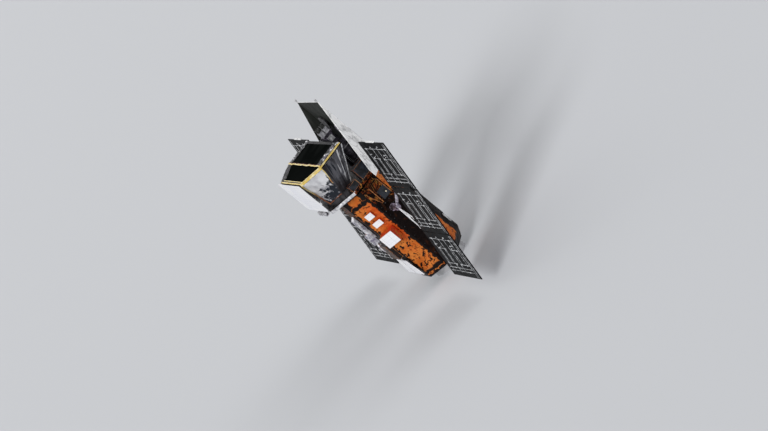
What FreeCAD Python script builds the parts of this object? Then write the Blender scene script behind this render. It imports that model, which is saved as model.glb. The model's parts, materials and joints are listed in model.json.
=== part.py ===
import FreeCAD, Part
import math
import os

# An astronomy satellite standing on its launch ring. Millimetres, +Z along the telescopes' view,
# +X towards the sunshade, origin at the centre of the ring's seat. Two solar wings lie along Y.

# Named clearances
SEAT_GAP = 0.3
OVERRUN = 20.0

# Launch ring
RING_OUTER_D = 937.0
RING_HEIGHT = 200.0
RING_WALL = 8.0
RING_FLANGE_WIDTH = 36.0
RING_FLANGE_THICK = 9.0
RING_BOLT_COUNT = 8
RING_BOLT_HOLE_D = 10.5
RING_BOLT_INSET = 20.0

# Bus, an octagonal prism that narrows and leans back at its foot
BUS_FLATS = 1322.0
BUS_HEIGHT = 2600.0
BUS_EDGE_RADIUS = 24.0
BUS_FOOT_FLATS = 1184.0
BUS_FOOT_SHIFT = -52.0
BUS_FOOT_HEIGHT = 210.0
DECK_INSET = 14.0
DECK_THICK = 20.0

# Optical bench and its neck
NECK_FLATS = 1180.0
NECK_HEIGHT = 102.0
BENCH_FLATS = 1900.0
BENCH_HEIGHT = 88.0
BENCH_EDGE_RADIUS = 20.0

# Coded mask, its shield and detector
MASK_TOP_Z = 3980.0
MASK_FRONT_X = 205.0
MASK_KNEE_X = -476.0
MASK_BACK_X = -973.0
MASK_HALF_WIDTH = 1200.0
MASK_HALF_NARROW = 728.0
MASK_THICK = 45.0
MASK_BORDER = 70.0
MASK_PANEL_DROP = 8.0
SHIELD_FOOT_Z = 3130.0
SHIELD_FOOT_FRONT_X = -230.0
SHIELD_FOOT_KNEE_X = -556.0
SHIELD_FOOT_HALF_WIDTH = 800.0
SHIELD_FOOT_HALF_NARROW = 540.0
DETECTOR_INSET = 45.0

# White radiator behind the mask
MASK_RADIATOR_X = -1017.0
MASK_RADIATOR_HALF_WIDTH = 770.0
MASK_RADIATOR_FOOT_Z = 3105.0
MASK_RADIATOR_TOP_Z = 3995.0
MASK_RADIATOR_THICK = 14.0
MASK_RADIATOR_CORNER = 60.0
RADIATOR_POST_SIZE = 26.0
RADIATOR_POST_Y = 430.0
RADIATOR_POST_ROW_SHARES = (0.25, 0.78)

# Telescopes
XRAY_X = 400.0
XRAY_Y = 300.0
XRAY_OUTER_D = 340.0
XRAY_TOP_Z = 3930.0
UV_X = 405.0
UV_Y = -290.0
UV_OUTER_D = 310.0
UV_TOP_Z = 3720.0
TUBE_WALL = 14.0
TUBE_BORE_DEPTH = 450.0
TUBE_COLLAR_WIDTH = 30.0
TUBE_COLLAR_HEIGHT = 26.0
COVER_THICK = 16.0
COVER_RIM = 10.0
COVER_HINGE_OFFSET = 24.0
COVER_PIN_D = 12.0
COVER_PIN_CLEARANCE = 0.05
COVER_LUG_WIDTH = 18.0
COVER_LUG_HALF_SPACING = 60.0
COVER_LUG_SPACE = 1.0
COVER_LUG_DROP = 54.0
COVER_OPEN_ANGLE = 94.0
COVER_RISE = 6.0

# Star trackers between the telescopes
TRACKER_BRACKET_X = 385.0
TRACKER_BRACKET_WIDTH = 60.0
TRACKER_BRACKET_DEPTH = 210.0
TRACKER_PLATE_Z = 4010.0
TRACKER_PLATE_THICK = 16.0
TRACKER_PLATE_WIDTH = 170.0
TRACKER_BOX_DEPTH = 105.0
TRACKER_BOX_WIDTH = 120.0
TRACKER_BOX_HEIGHT = 128.0
TRACKER_GAP = 30.0
TRACKER_HOOD_INSET = 12.0
TRACKER_HOOD_FLARE = 8.0
TRACKER_HOOD_WALL = 5.0
TRACKER_HOOD_HEIGHT = 92.0

# Sunshade
SHADE_X = 672.0
SHADE_HALF_WIDTH = 755.0
SHADE_TOP_Z = 4781.0
SHADE_FOOT_Z = 2900.0
SHADE_THICK = 16.0
FLANK_WIDTH = 728.0
FLANK_ANGLE = 45.7
FLANK_FREE_Z = 3087.0
FLANK_FOLD_GAP = 2.0
SHADE_POST_SIZE = 26.0
SHADE_POST_HEIGHT = 36.0
SHADE_POST_HEAD_SIZE = 44.0
SHADE_POST_HEAD_HEIGHT = 40.0

# Boxes on the bench's near side and at its rear edge
TALL_BOX_X = -40.0
TALL_BOX_LENGTH = 330.0
TALL_BOX_DEPTH = 210.0
TALL_BOX_HEIGHT = 300.0
LOW_BOX_X = -390.0
LOW_BOX_LENGTH = 240.0
LOW_BOX_DEPTH = 124.0
LOW_BOX_HEIGHT = 150.0
BENCH_BOX_EDGE_INSET = 12.0
TAIL_BOX_Y = -100.0
TAIL_BOX_LENGTH = 560.0
TAIL_BOX_DEPTH = 76.0
TAIL_BOX_HEIGHT = 96.0
BOX_EDGE_BREAK = 8.0

# Radiator boxes on the two rear facets
SMALL_BOX_WIDTH = 200.0
SMALL_BOX_HEIGHT = 150.0
SMALL_BOX_PROUD = 60.0
SMALL_BOX_FOOT_Z = 2170.0
MEDIUM_BOX_WIDTH = 240.0
MEDIUM_BOX_HEIGHT = 140.0
MEDIUM_BOX_FOOT_Z = 1930.0
LARGE_BOX_WIDTH = 368.0
LARGE_BOX_HEIGHT = 320.0
LARGE_BOX_PROUD = 235.0
LARGE_BOX_FOOT_Z = 1440.0

# Rear face pieces
LOWER_RADIATOR_STANDOFF = 55.0
LOWER_RADIATOR_FOOT_Z = 450.0
LOWER_RADIATOR_TOP_Z = 920.0
LOWER_RADIATOR_FOOT_HALF_WIDTH = 500.0
LOWER_RADIATOR_TOP_HALF_WIDTH = 300.0
LOWER_RADIATOR_THICK = 18.0
LOWER_RADIATOR_LEG_SIZE = 28.0
DUCT_FOOT_Z = 1700.0
DUCT_BENCH_SPACE = 490.0
DUCT_WIDTH = 140.0
DUCT_DEPTH = 110.0
DUCT_EDGE_CHAMFER = 36.0
DUCT_END_CHAMFER = 60.0
POWER_BOX_FOOT_Z = 1000.0
POWER_BOX_HEIGHT = 440.0
POWER_BOX_WIDTH = 400.0
POWER_BOX_DEPTH = 100.0

# Antenna blade on the facet towards +X and -Y
SUN_ANTENNA_LENGTH = 260.0
SUN_ANTENNA_WIDTH = 48.0
SUN_ANTENNA_THICK = 14.0
SUN_ANTENNA_STANDOFF = 20.0
SUN_ANTENNA_FOOT_Z = 640.0
SUN_ANTENNA_ACROSS = 185.0
SUN_ANTENNA_LEG_SIZE = 24.0
SUN_ANTENNA_LEG_SHARES = (0.25, 0.75)

# Solar wings
WING_AXIS_X = -80.0
WING_AXIS_Z = 2070.0
WING_TILT = 14.1
WING_INNER_Y = 1800.0
PANEL_WIDTH = 1593.0
PANEL_LENGTH = 1182.0
PANEL_SPACE = 20.0
PANEL_THICK = 24.0
PANEL_EDGE_CHAMFER = 5.0
CELL_FIELD_MARGIN = 34.0
CELL_FIELD_THICK = 3.0
TIP_BAR_LENGTH = 510.0
TIP_BAR_HEIGHT = 34.0
TIP_BAR_THICK = 34.0
TIP_BAR_INNER_SHARE = 0.33
FOLD_SPACE = 30.0
KNUCKLE_LENGTH = 46.0
KNUCKLE_SPACE = 1.0
KNUCKLE_GRIP = 36.0
KNUCKLE_INSET_SHARE = 0.16
HINGE_PIN_D = 8.0
HINGE_PIN_CLEARANCE = 0.05
HINGE_LUG_SIZE = 16.0

# Wing drives and yokes
DRIVE_PLATE_SIZE = 300.0
DRIVE_PLATE_THICK = 16.0
DRIVE_HOUSING_D = 190.0
DRIVE_HOUSING_LENGTH = 240.0
DRIVE_SHAFT_D = 90.0
DRIVE_SHAFT_CLEARANCE = 0.08
DRIVE_SHAFT_ENGAGEMENT = 60.0
HUB_FLANGE_D = 170.0
HUB_FLANGE_THICK = 22.0
HUB_RUNNING_GAP = 6.0
HUB_NECK_D = 96.0
HUB_NECK_LENGTH = 205.0
HUB_HEAD_D = 130.0
HUB_HEAD_LENGTH = 120.0
YOKE_UPPER_TUBE_D = 66.0
YOKE_LOWER_TUBE_D = 26.0
YOKE_UPPER_REACH = 390.0
YOKE_LOWER_NEAR_REACH = 240.0
YOKE_LOWER_FAR_REACH = 490.0
YOKE_TIE_SHARE = 0.62
YOKE_FITTING_LENGTH = 96.0
YOKE_FITTING_DEPTH = 44.0
YOKE_PART_GAP = 3.0


def rotation(axis, degrees, centre):
    return FreeCAD.Placement(FreeCAD.Vector(), FreeCAD.Rotation(FreeCAD.Vector(*axis), degrees),
                             FreeCAD.Vector(*centre))


def polygon_face(points):
    """A face from a list of corner points."""
    corners = [FreeCAD.Vector(*point) for point in points]
    return Part.Face(Part.makePolygon(corners + corners[:1]))


def prism(points, height):
    """A closed plan in the XY plane raised by a height."""
    return polygon_face(points).extrude(FreeCAD.Vector(0, 0, height))


def block(low, high):
    """A box from its lowest to its highest corner."""
    size = [top - bottom for bottom, top in zip(low, high)]
    return Part.makeBox(*size, FreeCAD.Vector(*low))


def rod(start, end, diameter):
    """A round bar between two points."""
    start = FreeCAD.Vector(*start)
    along = FreeCAD.Vector(*end).sub(start)
    return Part.makeCylinder(diameter / 2, along.Length, start, along)


def turned(profile, start, along):
    """A solid of revolution from (distance along the axis, radius) points."""
    corners = [FreeCAD.Vector(radius, 0, reach) for reach, radius in profile]
    solid = Part.Face(Part.makePolygon(corners + corners[:1]))
    solid = solid.revolve(FreeCAD.Vector(), FreeCAD.Vector(0, 0, 1), 360)
    solid.Placement = FreeCAD.Placement(FreeCAD.Vector(*start),
                                        FreeCAD.Rotation(FreeCAD.Vector(0, 0, 1), FreeCAD.Vector(*along)))
    return solid


def octagon(flats, shift_x, height):
    """Corner points of a regular octagon with faces square to X and Y, centred on X = shift_x."""
    half = flats / 2
    corner = half * math.tan(math.pi / 8)
    plan = [(half, -corner), (half, corner), (corner, half), (-corner, half),
            (-half, corner), (-half, -corner), (-corner, -half), (corner, -half)]
    return [(x + shift_x, y, height) for x, y in plan]


def d_plan(front, knee, back, half_width, half_narrow, height):
    """Corner points of the mask's outline, wide at the front and tapered towards the back."""
    return [(front, -half_width, height), (front, half_width, height), (knee, half_width, height),
            (back, half_narrow, height), (back, -half_narrow, height), (knee, -half_width, height)]


def loft(lower, upper):
    """A solid with flat sides between two outlines whose edges are parallel."""
    faces = [polygon_face(lower), polygon_face(upper)]
    count = len(lower)
    for index in range(count):
        after = (index + 1) % count
        faces.append(polygon_face([lower[index], lower[after], upper[after], upper[index]]))
    return Part.makeSolid(Part.makeShell(faces))


def round_upright_edges(solid, radius):
    """Fillets every edge that runs along Z."""
    return solid.makeFillet(radius, upright_edges(solid))


def upright_edges(solid):
    edges = []
    for edge in solid.Edges:
        run = edge.Vertexes[-1].Point.sub(edge.Vertexes[0].Point)
        if run.Length > 0 and abs(run.z) > 0.999 * run.Length:
            edges.append(edge)
    return edges


def mirrored_in_y(solid):
    return solid.mirror(FreeCAD.Vector(), FreeCAD.Vector(0, 1, 0))


def save(name, *solids):
    """Writes one node as a STEP file."""
    shape = solids[0] if len(solids) == 1 else Part.makeCompound(list(solids))
    shape.exportStep("parts/" + name + ".step")


BUS_FOOT_Z = RING_HEIGHT + DECK_THICK
BUS_KNEE_Z = BUS_FOOT_Z + BUS_FOOT_HEIGHT
BUS_TOP_Z = RING_HEIGHT + BUS_HEIGHT
BENCH_FOOT_Z = BUS_TOP_Z + NECK_HEIGHT
BENCH_TOP_Z = BENCH_FOOT_Z + BENCH_HEIGHT
SHADE_INNER_X = SHADE_X - SHADE_THICK
REAR_WALL_X = -BUS_FLATS / 2 - SEAT_GAP


def make_launch_ring():
    """An angle section turned about Z, with bolt holes in the flange that points inwards at its foot."""
    outer = RING_OUTER_D / 2
    lip = outer - RING_FLANGE_WIDTH
    wall = outer - RING_WALL
    ring = turned([(0, lip), (0, outer), (RING_HEIGHT, outer), (RING_HEIGHT, wall),
                   (RING_FLANGE_THICK, wall), (RING_FLANGE_THICK, lip)], (0, 0, 0), (0, 0, 1))
    for index in range(RING_BOLT_COUNT):
        angle = 2 * math.pi * index / RING_BOLT_COUNT
        reach = outer - RING_BOLT_INSET
        centre = FreeCAD.Vector(reach * math.cos(angle), reach * math.sin(angle), -OVERRUN)
        ring = ring.cut(Part.makeCylinder(RING_BOLT_HOLE_D / 2, RING_FLANGE_THICK + 2 * OVERRUN, centre))
    save("launch_ring", ring)


def make_bus():
    """A straight trunk with rounded corners over a foot whose eight sides lean in."""
    deck = prism(octagon(BUS_FOOT_FLATS - 2 * DECK_INSET, BUS_FOOT_SHIFT, RING_HEIGHT), DECK_THICK)
    save("bottom_deck", deck)
    foot_outline = octagon(BUS_FOOT_FLATS, BUS_FOOT_SHIFT, BUS_FOOT_Z)
    knee_outline = octagon(BUS_FLATS, 0, BUS_KNEE_Z)
    trunk = round_upright_edges(prism(knee_outline, BUS_TOP_Z - BUS_KNEE_Z), BUS_EDGE_RADIUS)
    rounded_plan = round_upright_edges(prism(knee_outline, -BUS_FOOT_HEIGHT), BUS_EDGE_RADIUS)
    foot = loft(foot_outline, knee_outline).common(rounded_plan)
    save("bus_body", trunk.fuse(foot).removeSplitter())
    save("bench_neck", prism(octagon(NECK_FLATS, 0, BUS_TOP_Z), NECK_HEIGHT))


def bench_outline(height):
    """The bench is an octagon behind and follows the inside of the sunshade in front."""
    half = BENCH_FLATS / 2
    corner = half * math.tan(math.pi / 8)
    front = SHADE_INNER_X - SEAT_GAP
    lean = math.tan(math.radians(FLANK_ANGLE))
    front_corner = SHADE_HALF_WIDTH - SHADE_THICK
    side_x = front - (half - front_corner) * lean
    half_plan = [(front, front_corner), (side_x, half), (-corner, half), (-half, corner)]
    right = [(x, -y, height) for x, y in reversed(half_plan)]
    return [(x, y, height) for x, y in half_plan] + right


def make_bench():
    bench = prism(bench_outline(BENCH_FOOT_Z), BENCH_HEIGHT)
    save("optical_bench", round_upright_edges(bench, BENCH_EDGE_RADIUS))


def inset_d(inset, height):
    """The mask's outline drawn in by a border."""
    slope = (MASK_HALF_WIDTH - MASK_HALF_NARROW) / (MASK_KNEE_X - MASK_BACK_X)
    back_half = MASK_HALF_NARROW - inset * slope / 2
    return d_plan(MASK_FRONT_X - inset, MASK_KNEE_X + inset / 2, MASK_BACK_X + inset,
                  MASK_HALF_WIDTH - inset, back_half, height)


def shield_foot_back_x():
    """Where the foot's rear edge stands so that each rear corner side stays flat."""
    slope = (MASK_KNEE_X - MASK_BACK_X) / (MASK_HALF_WIDTH - MASK_HALF_NARROW)
    return SHIELD_FOOT_KNEE_X - slope * (SHIELD_FOOT_HALF_WIDTH - SHIELD_FOOT_HALF_NARROW)


def shield_solid():
    foot = d_plan(SHIELD_FOOT_FRONT_X, SHIELD_FOOT_KNEE_X, shield_foot_back_x(),
                  SHIELD_FOOT_HALF_WIDTH, SHIELD_FOOT_HALF_NARROW, SHIELD_FOOT_Z)
    return loft(foot, inset_d(0, MASK_TOP_Z - MASK_THICK - SEAT_GAP))


def make_mask():
    """The open frame with the mask panel sunk in it, the flared shield below and the detector box."""
    outline = inset_d(0, MASK_TOP_Z - MASK_THICK)
    inner = inset_d(MASK_BORDER, MASK_TOP_Z - MASK_THICK)
    save("mask_frame", prism(outline, MASK_THICK).cut(prism(inner, MASK_THICK)))
    panel = prism(inset_d(MASK_BORDER + SEAT_GAP, MASK_TOP_Z - MASK_THICK), MASK_THICK - MASK_PANEL_DROP)
    save("mask_panel", panel)
    save("mask_shield", shield_solid())
    detector = d_plan(SHIELD_FOOT_FRONT_X - DETECTOR_INSET, SHIELD_FOOT_KNEE_X,
                      shield_foot_back_x() + DETECTOR_INSET, SHIELD_FOOT_HALF_WIDTH - DETECTOR_INSET,
                      SHIELD_FOOT_HALF_NARROW - DETECTOR_INSET, BENCH_TOP_Z)
    save("detector_box", prism(detector, SHIELD_FOOT_Z - BENCH_TOP_Z))


def make_mask_radiator():
    """A flat radiator with two cut corners, on six posts that end on the shield's sloping back."""
    half = MASK_RADIATOR_HALF_WIDTH
    cut = MASK_RADIATOR_CORNER
    low, high = MASK_RADIATOR_FOOT_Z, MASK_RADIATOR_TOP_Z
    outline = [(half - cut, low), (half, low + cut), (half, high), (-half, high),
               (-half, low + cut), (cut - half, low)]
    face = polygon_face([(MASK_RADIATOR_X - MASK_RADIATOR_THICK, y, z) for y, z in outline])
    save("mask_radiator", face.extrude(FreeCAD.Vector(MASK_RADIATOR_THICK, 0, 0)))
    wall = shield_solid().translated(FreeCAD.Vector(-SEAT_GAP, 0, 0))
    start_x = MASK_RADIATOR_X + SEAT_GAP
    reach_x = shield_foot_back_x() + RADIATOR_POST_SIZE
    half_post = RADIATOR_POST_SIZE / 2
    posts = []
    for share in RADIATOR_POST_ROW_SHARES:
        z = low + share * (high - low)
        for y in (-RADIATOR_POST_Y, 0, RADIATOR_POST_Y):
            post = block((start_x, y - half_post, z - half_post), (reach_x, y + half_post, z + half_post))
            posts.append(post.cut(wall))
    save("radiator_posts", *posts)


def make_telescope(name, x, y, outer_d, top_z):
    """A tube with a foot collar and a deep bore, and a hinged cover that stands open."""
    radius = outer_d / 2
    height = top_z - BENCH_TOP_Z
    collar = radius + TUBE_COLLAR_WIDTH
    bore = radius - TUBE_WALL
    bore_foot = height - TUBE_BORE_DEPTH
    tube = turned([(0, 0), (0, collar), (TUBE_COLLAR_HEIGHT, collar), (TUBE_COLLAR_HEIGHT, radius),
                   (height, radius), (height, bore), (bore_foot, bore), (bore_foot, 0)],
                  (x, y, BENCH_TOP_Z), (0, 0, 1))
    hinge_x = x + radius + COVER_HINGE_OFFSET
    hinge_z = top_z + COVER_RISE
    half_span = COVER_LUG_HALF_SPACING
    middle = half_span - COVER_LUG_WIDTH
    tube = tube.fuse(hinge_shelf(x + radius, y, hinge_x, hinge_z, top_z, middle))
    tube = tube.cut(Part.makeCylinder(bore, height, FreeCAD.Vector(x, y, BENCH_TOP_Z + bore_foot)))
    pin_reach = half_span + OVERRUN
    tube = tube.cut(rod((hinge_x, y - pin_reach, hinge_z), (hinge_x, y + pin_reach, hinge_z), COVER_PIN_D))
    save(name + "_telescope", tube.removeSplitter())

    lid_z = top_z + COVER_LUG_SPACE
    rim = radius - COVER_RIM
    lid = turned([(0, 0), (0, radius), (2 * COVER_THICK, radius), (2 * COVER_THICK, rim), (COVER_THICK, rim),
                  (COVER_THICK, 0)], (x, y, lid_z), (0, 0, 1))
    half = middle - COVER_LUG_SPACE
    lug = COVER_PIN_D / 2
    outline = [(x + radius - TUBE_COLLAR_WIDTH, lid_z), (hinge_x - lug, lid_z), (hinge_x, hinge_z - 2 * lug),
               (hinge_x + lug, hinge_z - 2 * lug), (hinge_x + 2 * lug, hinge_z - lug),
               (hinge_x + 2 * lug, hinge_z + lug), (hinge_x + lug, hinge_z + 2 * lug),
               (x + radius - TUBE_COLLAR_WIDTH, hinge_z + 2 * lug)]
    tongue = polygon_face([(place_x, y - half, z) for place_x, z in outline])
    tongue = tongue.extrude(FreeCAD.Vector(0, 2 * half, 0))
    pin = rod((hinge_x, y - half_span, hinge_z), (hinge_x, y + half_span, hinge_z),
              COVER_PIN_D - 2 * COVER_PIN_CLEARANCE)
    cover = lid.fuse(tongue).fuse(pin)
    cover.Placement = rotation((0, 1, 0), COVER_OPEN_ANGLE, (hinge_x, y, hinge_z))
    save(name + "_cover", cover.removeSplitter())


def hinge_shelf(wall_x, y, hinge_x, hinge_z, top_z, middle):
    """The shelf on the tube's side and its two ears, cut to a roof over the hinge axis."""
    shelf_foot = top_z - COVER_LUG_DROP
    outer = COVER_LUG_HALF_SPACING
    lug = block((wall_x - TUBE_WALL, y - outer, shelf_foot),
                (hinge_x + COVER_PIN_D, y + outer, shelf_foot + COVER_LUG_WIDTH))
    roof = [(hinge_x - COVER_PIN_D, shelf_foot), (hinge_x + COVER_PIN_D, shelf_foot),
            (hinge_x + COVER_PIN_D, hinge_z), (hinge_x + COVER_PIN_D / 2, hinge_z + COVER_PIN_D),
            (hinge_x - COVER_PIN_D / 2, hinge_z + COVER_PIN_D), (hinge_x - COVER_PIN_D, hinge_z)]
    for y_low in (y - outer, y + middle):
        ear = polygon_face([(x, y_low, z) for x, z in roof])
        lug = lug.fuse(ear.extrude(FreeCAD.Vector(0, COVER_LUG_WIDTH, 0)))
    return lug


def make_star_trackers():
    """Two box cameras with square flared hoods on a plate, held by a slim column between the telescopes."""
    half = TRACKER_BRACKET_WIDTH / 2
    x_low = TRACKER_BRACKET_X - TRACKER_BRACKET_DEPTH / 2
    x_high = TRACKER_BRACKET_X + TRACKER_BRACKET_DEPTH / 2
    column = block((x_low, -half, BENCH_TOP_Z), (x_high, half, TRACKER_PLATE_Z))
    plate_half = TRACKER_PLATE_WIDTH / 2
    reach = TRACKER_BOX_DEPTH + TRACKER_GAP
    plate = block((TRACKER_BRACKET_X - reach, -plate_half, TRACKER_PLATE_Z),
                  (TRACKER_BRACKET_X + reach, plate_half, TRACKER_PLATE_Z + TRACKER_PLATE_THICK))
    save("tracker_bracket", column.fuse(plate).removeSplitter())
    box_foot = TRACKER_PLATE_Z + TRACKER_PLATE_THICK
    for name, side in (("star_tracker_rear", -1), ("star_tracker_front", 1)):
        centre = TRACKER_BRACKET_X + side * (TRACKER_BOX_DEPTH + TRACKER_GAP) / 2
        box_top = box_foot + TRACKER_BOX_HEIGHT
        low = (centre - TRACKER_BOX_DEPTH / 2, -TRACKER_BOX_WIDTH / 2, box_foot)
        high = (centre + TRACKER_BOX_DEPTH / 2, TRACKER_BOX_WIDTH / 2, box_top)
        box = block(low, high)
        box = box.makeChamfer(BOX_EDGE_BREAK, upright_edges(box))
        save(name, box.fuse(tracker_hood(centre, box_top)).removeSplitter())


def tracker_hood(centre, foot_z):
    """A square funnel, open at the top."""
    hood = None
    for wall in (0, TRACKER_HOOD_WALL):
        inset = TRACKER_HOOD_INSET + wall
        outlines = []
        for flare, z in ((0, foot_z + wall), (TRACKER_HOOD_FLARE, foot_z + TRACKER_HOOD_HEIGHT + wall)):
            half_x = TRACKER_BOX_DEPTH / 2 - inset + flare
            half_y = TRACKER_BOX_WIDTH / 2 - inset + flare
            outlines.append([(centre - half_x, -half_y, z), (centre + half_x, -half_y, z),
                             (centre + half_x, half_y, z), (centre - half_x, half_y, z)])
        shape = loft(*outlines)
        hood = shape if hood is None else hood.cut(shape)
    return hood


def flank_solid():
    """The right-hand flank, a triangle bent back from the centre panel."""
    angle = math.radians(FLANK_ANGLE)
    fold = FreeCAD.Vector(SHADE_X, -SHADE_HALF_WIDTH - FLANK_FOLD_GAP, 0)
    outward = FreeCAD.Vector(-math.sin(angle), -math.cos(angle), 0)
    inward = FreeCAD.Vector(-math.cos(angle), math.sin(angle), 0) * SHADE_THICK
    corners = []
    for width, height in ((0, SHADE_FOOT_Z), (FLANK_WIDTH, SHADE_FOOT_Z + FLANK_FOLD_GAP),
                          (FLANK_WIDTH, FLANK_FREE_Z), (0, SHADE_TOP_Z)):
        corners.append(fold + outward * width + FreeCAD.Vector(0, 0, height))
    return Part.Face(Part.makePolygon(corners + corners[:1])).extrude(inward)


def make_sunshade():
    """A tall centre panel with a triangular flank bent back on each side, and a post on each top corner."""
    centre = block((SHADE_INNER_X, -SHADE_HALF_WIDTH, SHADE_FOOT_Z), (SHADE_X, SHADE_HALF_WIDTH, SHADE_TOP_Z))
    save("sunshade_centre", centre)
    flank = flank_solid().cut(centre)
    save("sunshade_flank_right", flank)
    save("sunshade_flank_left", mirrored_in_y(flank))
    x = (SHADE_X + SHADE_INNER_X) / 2
    foot_z = SHADE_TOP_Z + SEAT_GAP
    head_z = foot_z + SHADE_POST_HEIGHT
    posts = []
    for side in (-1, 1):
        y = side * (SHADE_HALF_WIDTH - SHADE_POST_HEAD_SIZE / 2)
        stem = prism(octagon_at(x, y, SHADE_POST_SIZE, foot_z), SHADE_POST_HEIGHT)
        head = prism(octagon_at(x, y, SHADE_POST_HEAD_SIZE, head_z), SHADE_POST_HEAD_HEIGHT)
        posts.append(stem.fuse(head))
    save("sunshade_posts", *posts)


def octagon_at(x, y, flats, height):
    return [(corner_x, corner_y + y, z) for corner_x, corner_y, z in octagon(flats, x, height)]


def facet_box(width, proud, low_z, height):
    """A box with broken edges standing proud of the bus facet that faces -X and -Y."""
    depth = BUS_FLATS / 2
    box = block((depth + SEAT_GAP, -width / 2, low_z), (depth + proud, width / 2, low_z + height))
    outer_edges = [edge for edge in box.Edges if edge.BoundBox.XMin > depth + proud / 2]
    box = box.makeChamfer(BOX_EDGE_BREAK, outer_edges)
    box.Placement = rotation((0, 0, 1), -135, (0, 0, 0))
    return box


def make_radiator_boxes():
    """Three thermal boxes, one above another, on each of the two rear facets."""
    for name, width, proud, foot_z, height in (
            ("small_radiator_boxes", SMALL_BOX_WIDTH, SMALL_BOX_PROUD, SMALL_BOX_FOOT_Z, SMALL_BOX_HEIGHT),
            ("medium_radiator_boxes", MEDIUM_BOX_WIDTH, SMALL_BOX_PROUD, MEDIUM_BOX_FOOT_Z, MEDIUM_BOX_HEIGHT),
            ("large_radiator_boxes", LARGE_BOX_WIDTH, LARGE_BOX_PROUD, LARGE_BOX_FOOT_Z, LARGE_BOX_HEIGHT)):
        box = facet_box(width, proud, foot_z, height)
        save(name, box, mirrored_in_y(box))


def make_rear_face():
    """The face towards -X carries a low radiator on legs, a power box and a padded duct."""
    outer = REAR_WALL_X - LOWER_RADIATOR_STANDOFF
    low, high = LOWER_RADIATOR_FOOT_Z, LOWER_RADIATOR_TOP_Z
    wide, narrow = LOWER_RADIATOR_FOOT_HALF_WIDTH, LOWER_RADIATOR_TOP_HALF_WIDTH
    outline = [(outer, -wide, low), (outer, wide, low), (outer, narrow, high), (outer, -narrow, high)]
    radiator = polygon_face(outline).extrude(FreeCAD.Vector(-LOWER_RADIATOR_THICK, 0, 0))
    middle = (low + high) / 2
    half_leg = LOWER_RADIATOR_LEG_SIZE / 2
    for y in (-narrow / 2, narrow / 2):
        for z in (middle - narrow / 2, middle + narrow / 2):
            leg = block((outer, y - half_leg, z - half_leg), (REAR_WALL_X, y + half_leg, z + half_leg))
            radiator = radiator.fuse(leg)
    save("lower_radiator", radiator)
    save("rear_duct", duct_solid())
    half = POWER_BOX_WIDTH / 2
    box = block((REAR_WALL_X - POWER_BOX_DEPTH, -half, POWER_BOX_FOOT_Z),
                (REAR_WALL_X, half, POWER_BOX_FOOT_Z + POWER_BOX_HEIGHT))
    save("power_box", box.makeChamfer(BOX_EDGE_BREAK, upright_edges(box)))


def duct_solid():
    """A long padded cover with slanted ends and flattened edges, lying against the rear face."""
    outer = REAR_WALL_X - DUCT_DEPTH
    half = DUCT_WIDTH / 2
    top = BENCH_FOOT_Z - DUCT_BENCH_SPACE
    side = [(REAR_WALL_X, DUCT_FOOT_Z), (outer, DUCT_FOOT_Z + DUCT_END_CHAMFER),
            (outer, top - DUCT_END_CHAMFER), (REAR_WALL_X, top)]
    length = polygon_face([(x, -half, z) for x, z in side]).extrude(FreeCAD.Vector(0, DUCT_WIDTH, 0))
    shoulder = outer + DUCT_EDGE_CHAMFER
    plan = [(REAR_WALL_X, -half), (REAR_WALL_X, half), (shoulder, half), (outer, half - DUCT_EDGE_CHAMFER),
            (outer, DUCT_EDGE_CHAMFER - half), (shoulder, -half)]
    return length.common(prism([(x, y, DUCT_FOOT_Z) for x, y in plan], top - DUCT_FOOT_Z))


def make_bench_boxes():
    """Two electronics boxes along the bench's near edge, and one on its rear edge."""
    half = BENCH_FLATS / 2
    outer_y = BENCH_BOX_EDGE_INSET - half
    for name, x, length, depth, height in (
            ("tall_bench_box", TALL_BOX_X, TALL_BOX_LENGTH, TALL_BOX_DEPTH, TALL_BOX_HEIGHT),
            ("low_bench_box", LOW_BOX_X, LOW_BOX_LENGTH, LOW_BOX_DEPTH, LOW_BOX_HEIGHT)):
        box = block((x, outer_y, BENCH_TOP_Z), (x + length, outer_y + depth, BENCH_TOP_Z + height))
        save(name, box.makeChamfer(BOX_EDGE_BREAK, upright_edges(box)))
    wall = -half - SEAT_GAP
    tail = block((wall - TAIL_BOX_DEPTH, TAIL_BOX_Y, BENCH_TOP_Z - TAIL_BOX_HEIGHT),
                 (wall, TAIL_BOX_Y + TAIL_BOX_LENGTH, BENCH_TOP_Z))
    save("tail_bench_box", tail.makeChamfer(BOX_EDGE_BREAK, upright_edges(tail)))


def make_sun_antenna():
    """A narrow antenna blade on two short legs, low on the facet towards +X and -Y."""
    wall = BUS_FLATS / 2 + SEAT_GAP
    inner = wall + SUN_ANTENNA_STANDOFF
    half = SUN_ANTENNA_WIDTH / 2
    half_leg = SUN_ANTENNA_LEG_SIZE / 2
    y = SUN_ANTENNA_ACROSS
    blade = block((inner, y - half, SUN_ANTENNA_FOOT_Z),
                  (inner + SUN_ANTENNA_THICK, y + half, SUN_ANTENNA_FOOT_Z + SUN_ANTENNA_LENGTH))
    for share in SUN_ANTENNA_LEG_SHARES:
        z = SUN_ANTENNA_FOOT_Z + share * SUN_ANTENNA_LENGTH
        blade = blade.fuse(block((wall, y - half_leg, z - half_leg), (inner, y + half_leg, z + half_leg)))
    blade.Placement = rotation((0, 0, 1), -45, (0, 0, 0))
    save("sun_antenna", blade)


PANEL_PITCH = PANEL_LENGTH + PANEL_SPACE
FOLD_AXIS_DEPTH = PANEL_THICK / 2 + FOLD_SPACE / 2


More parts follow.
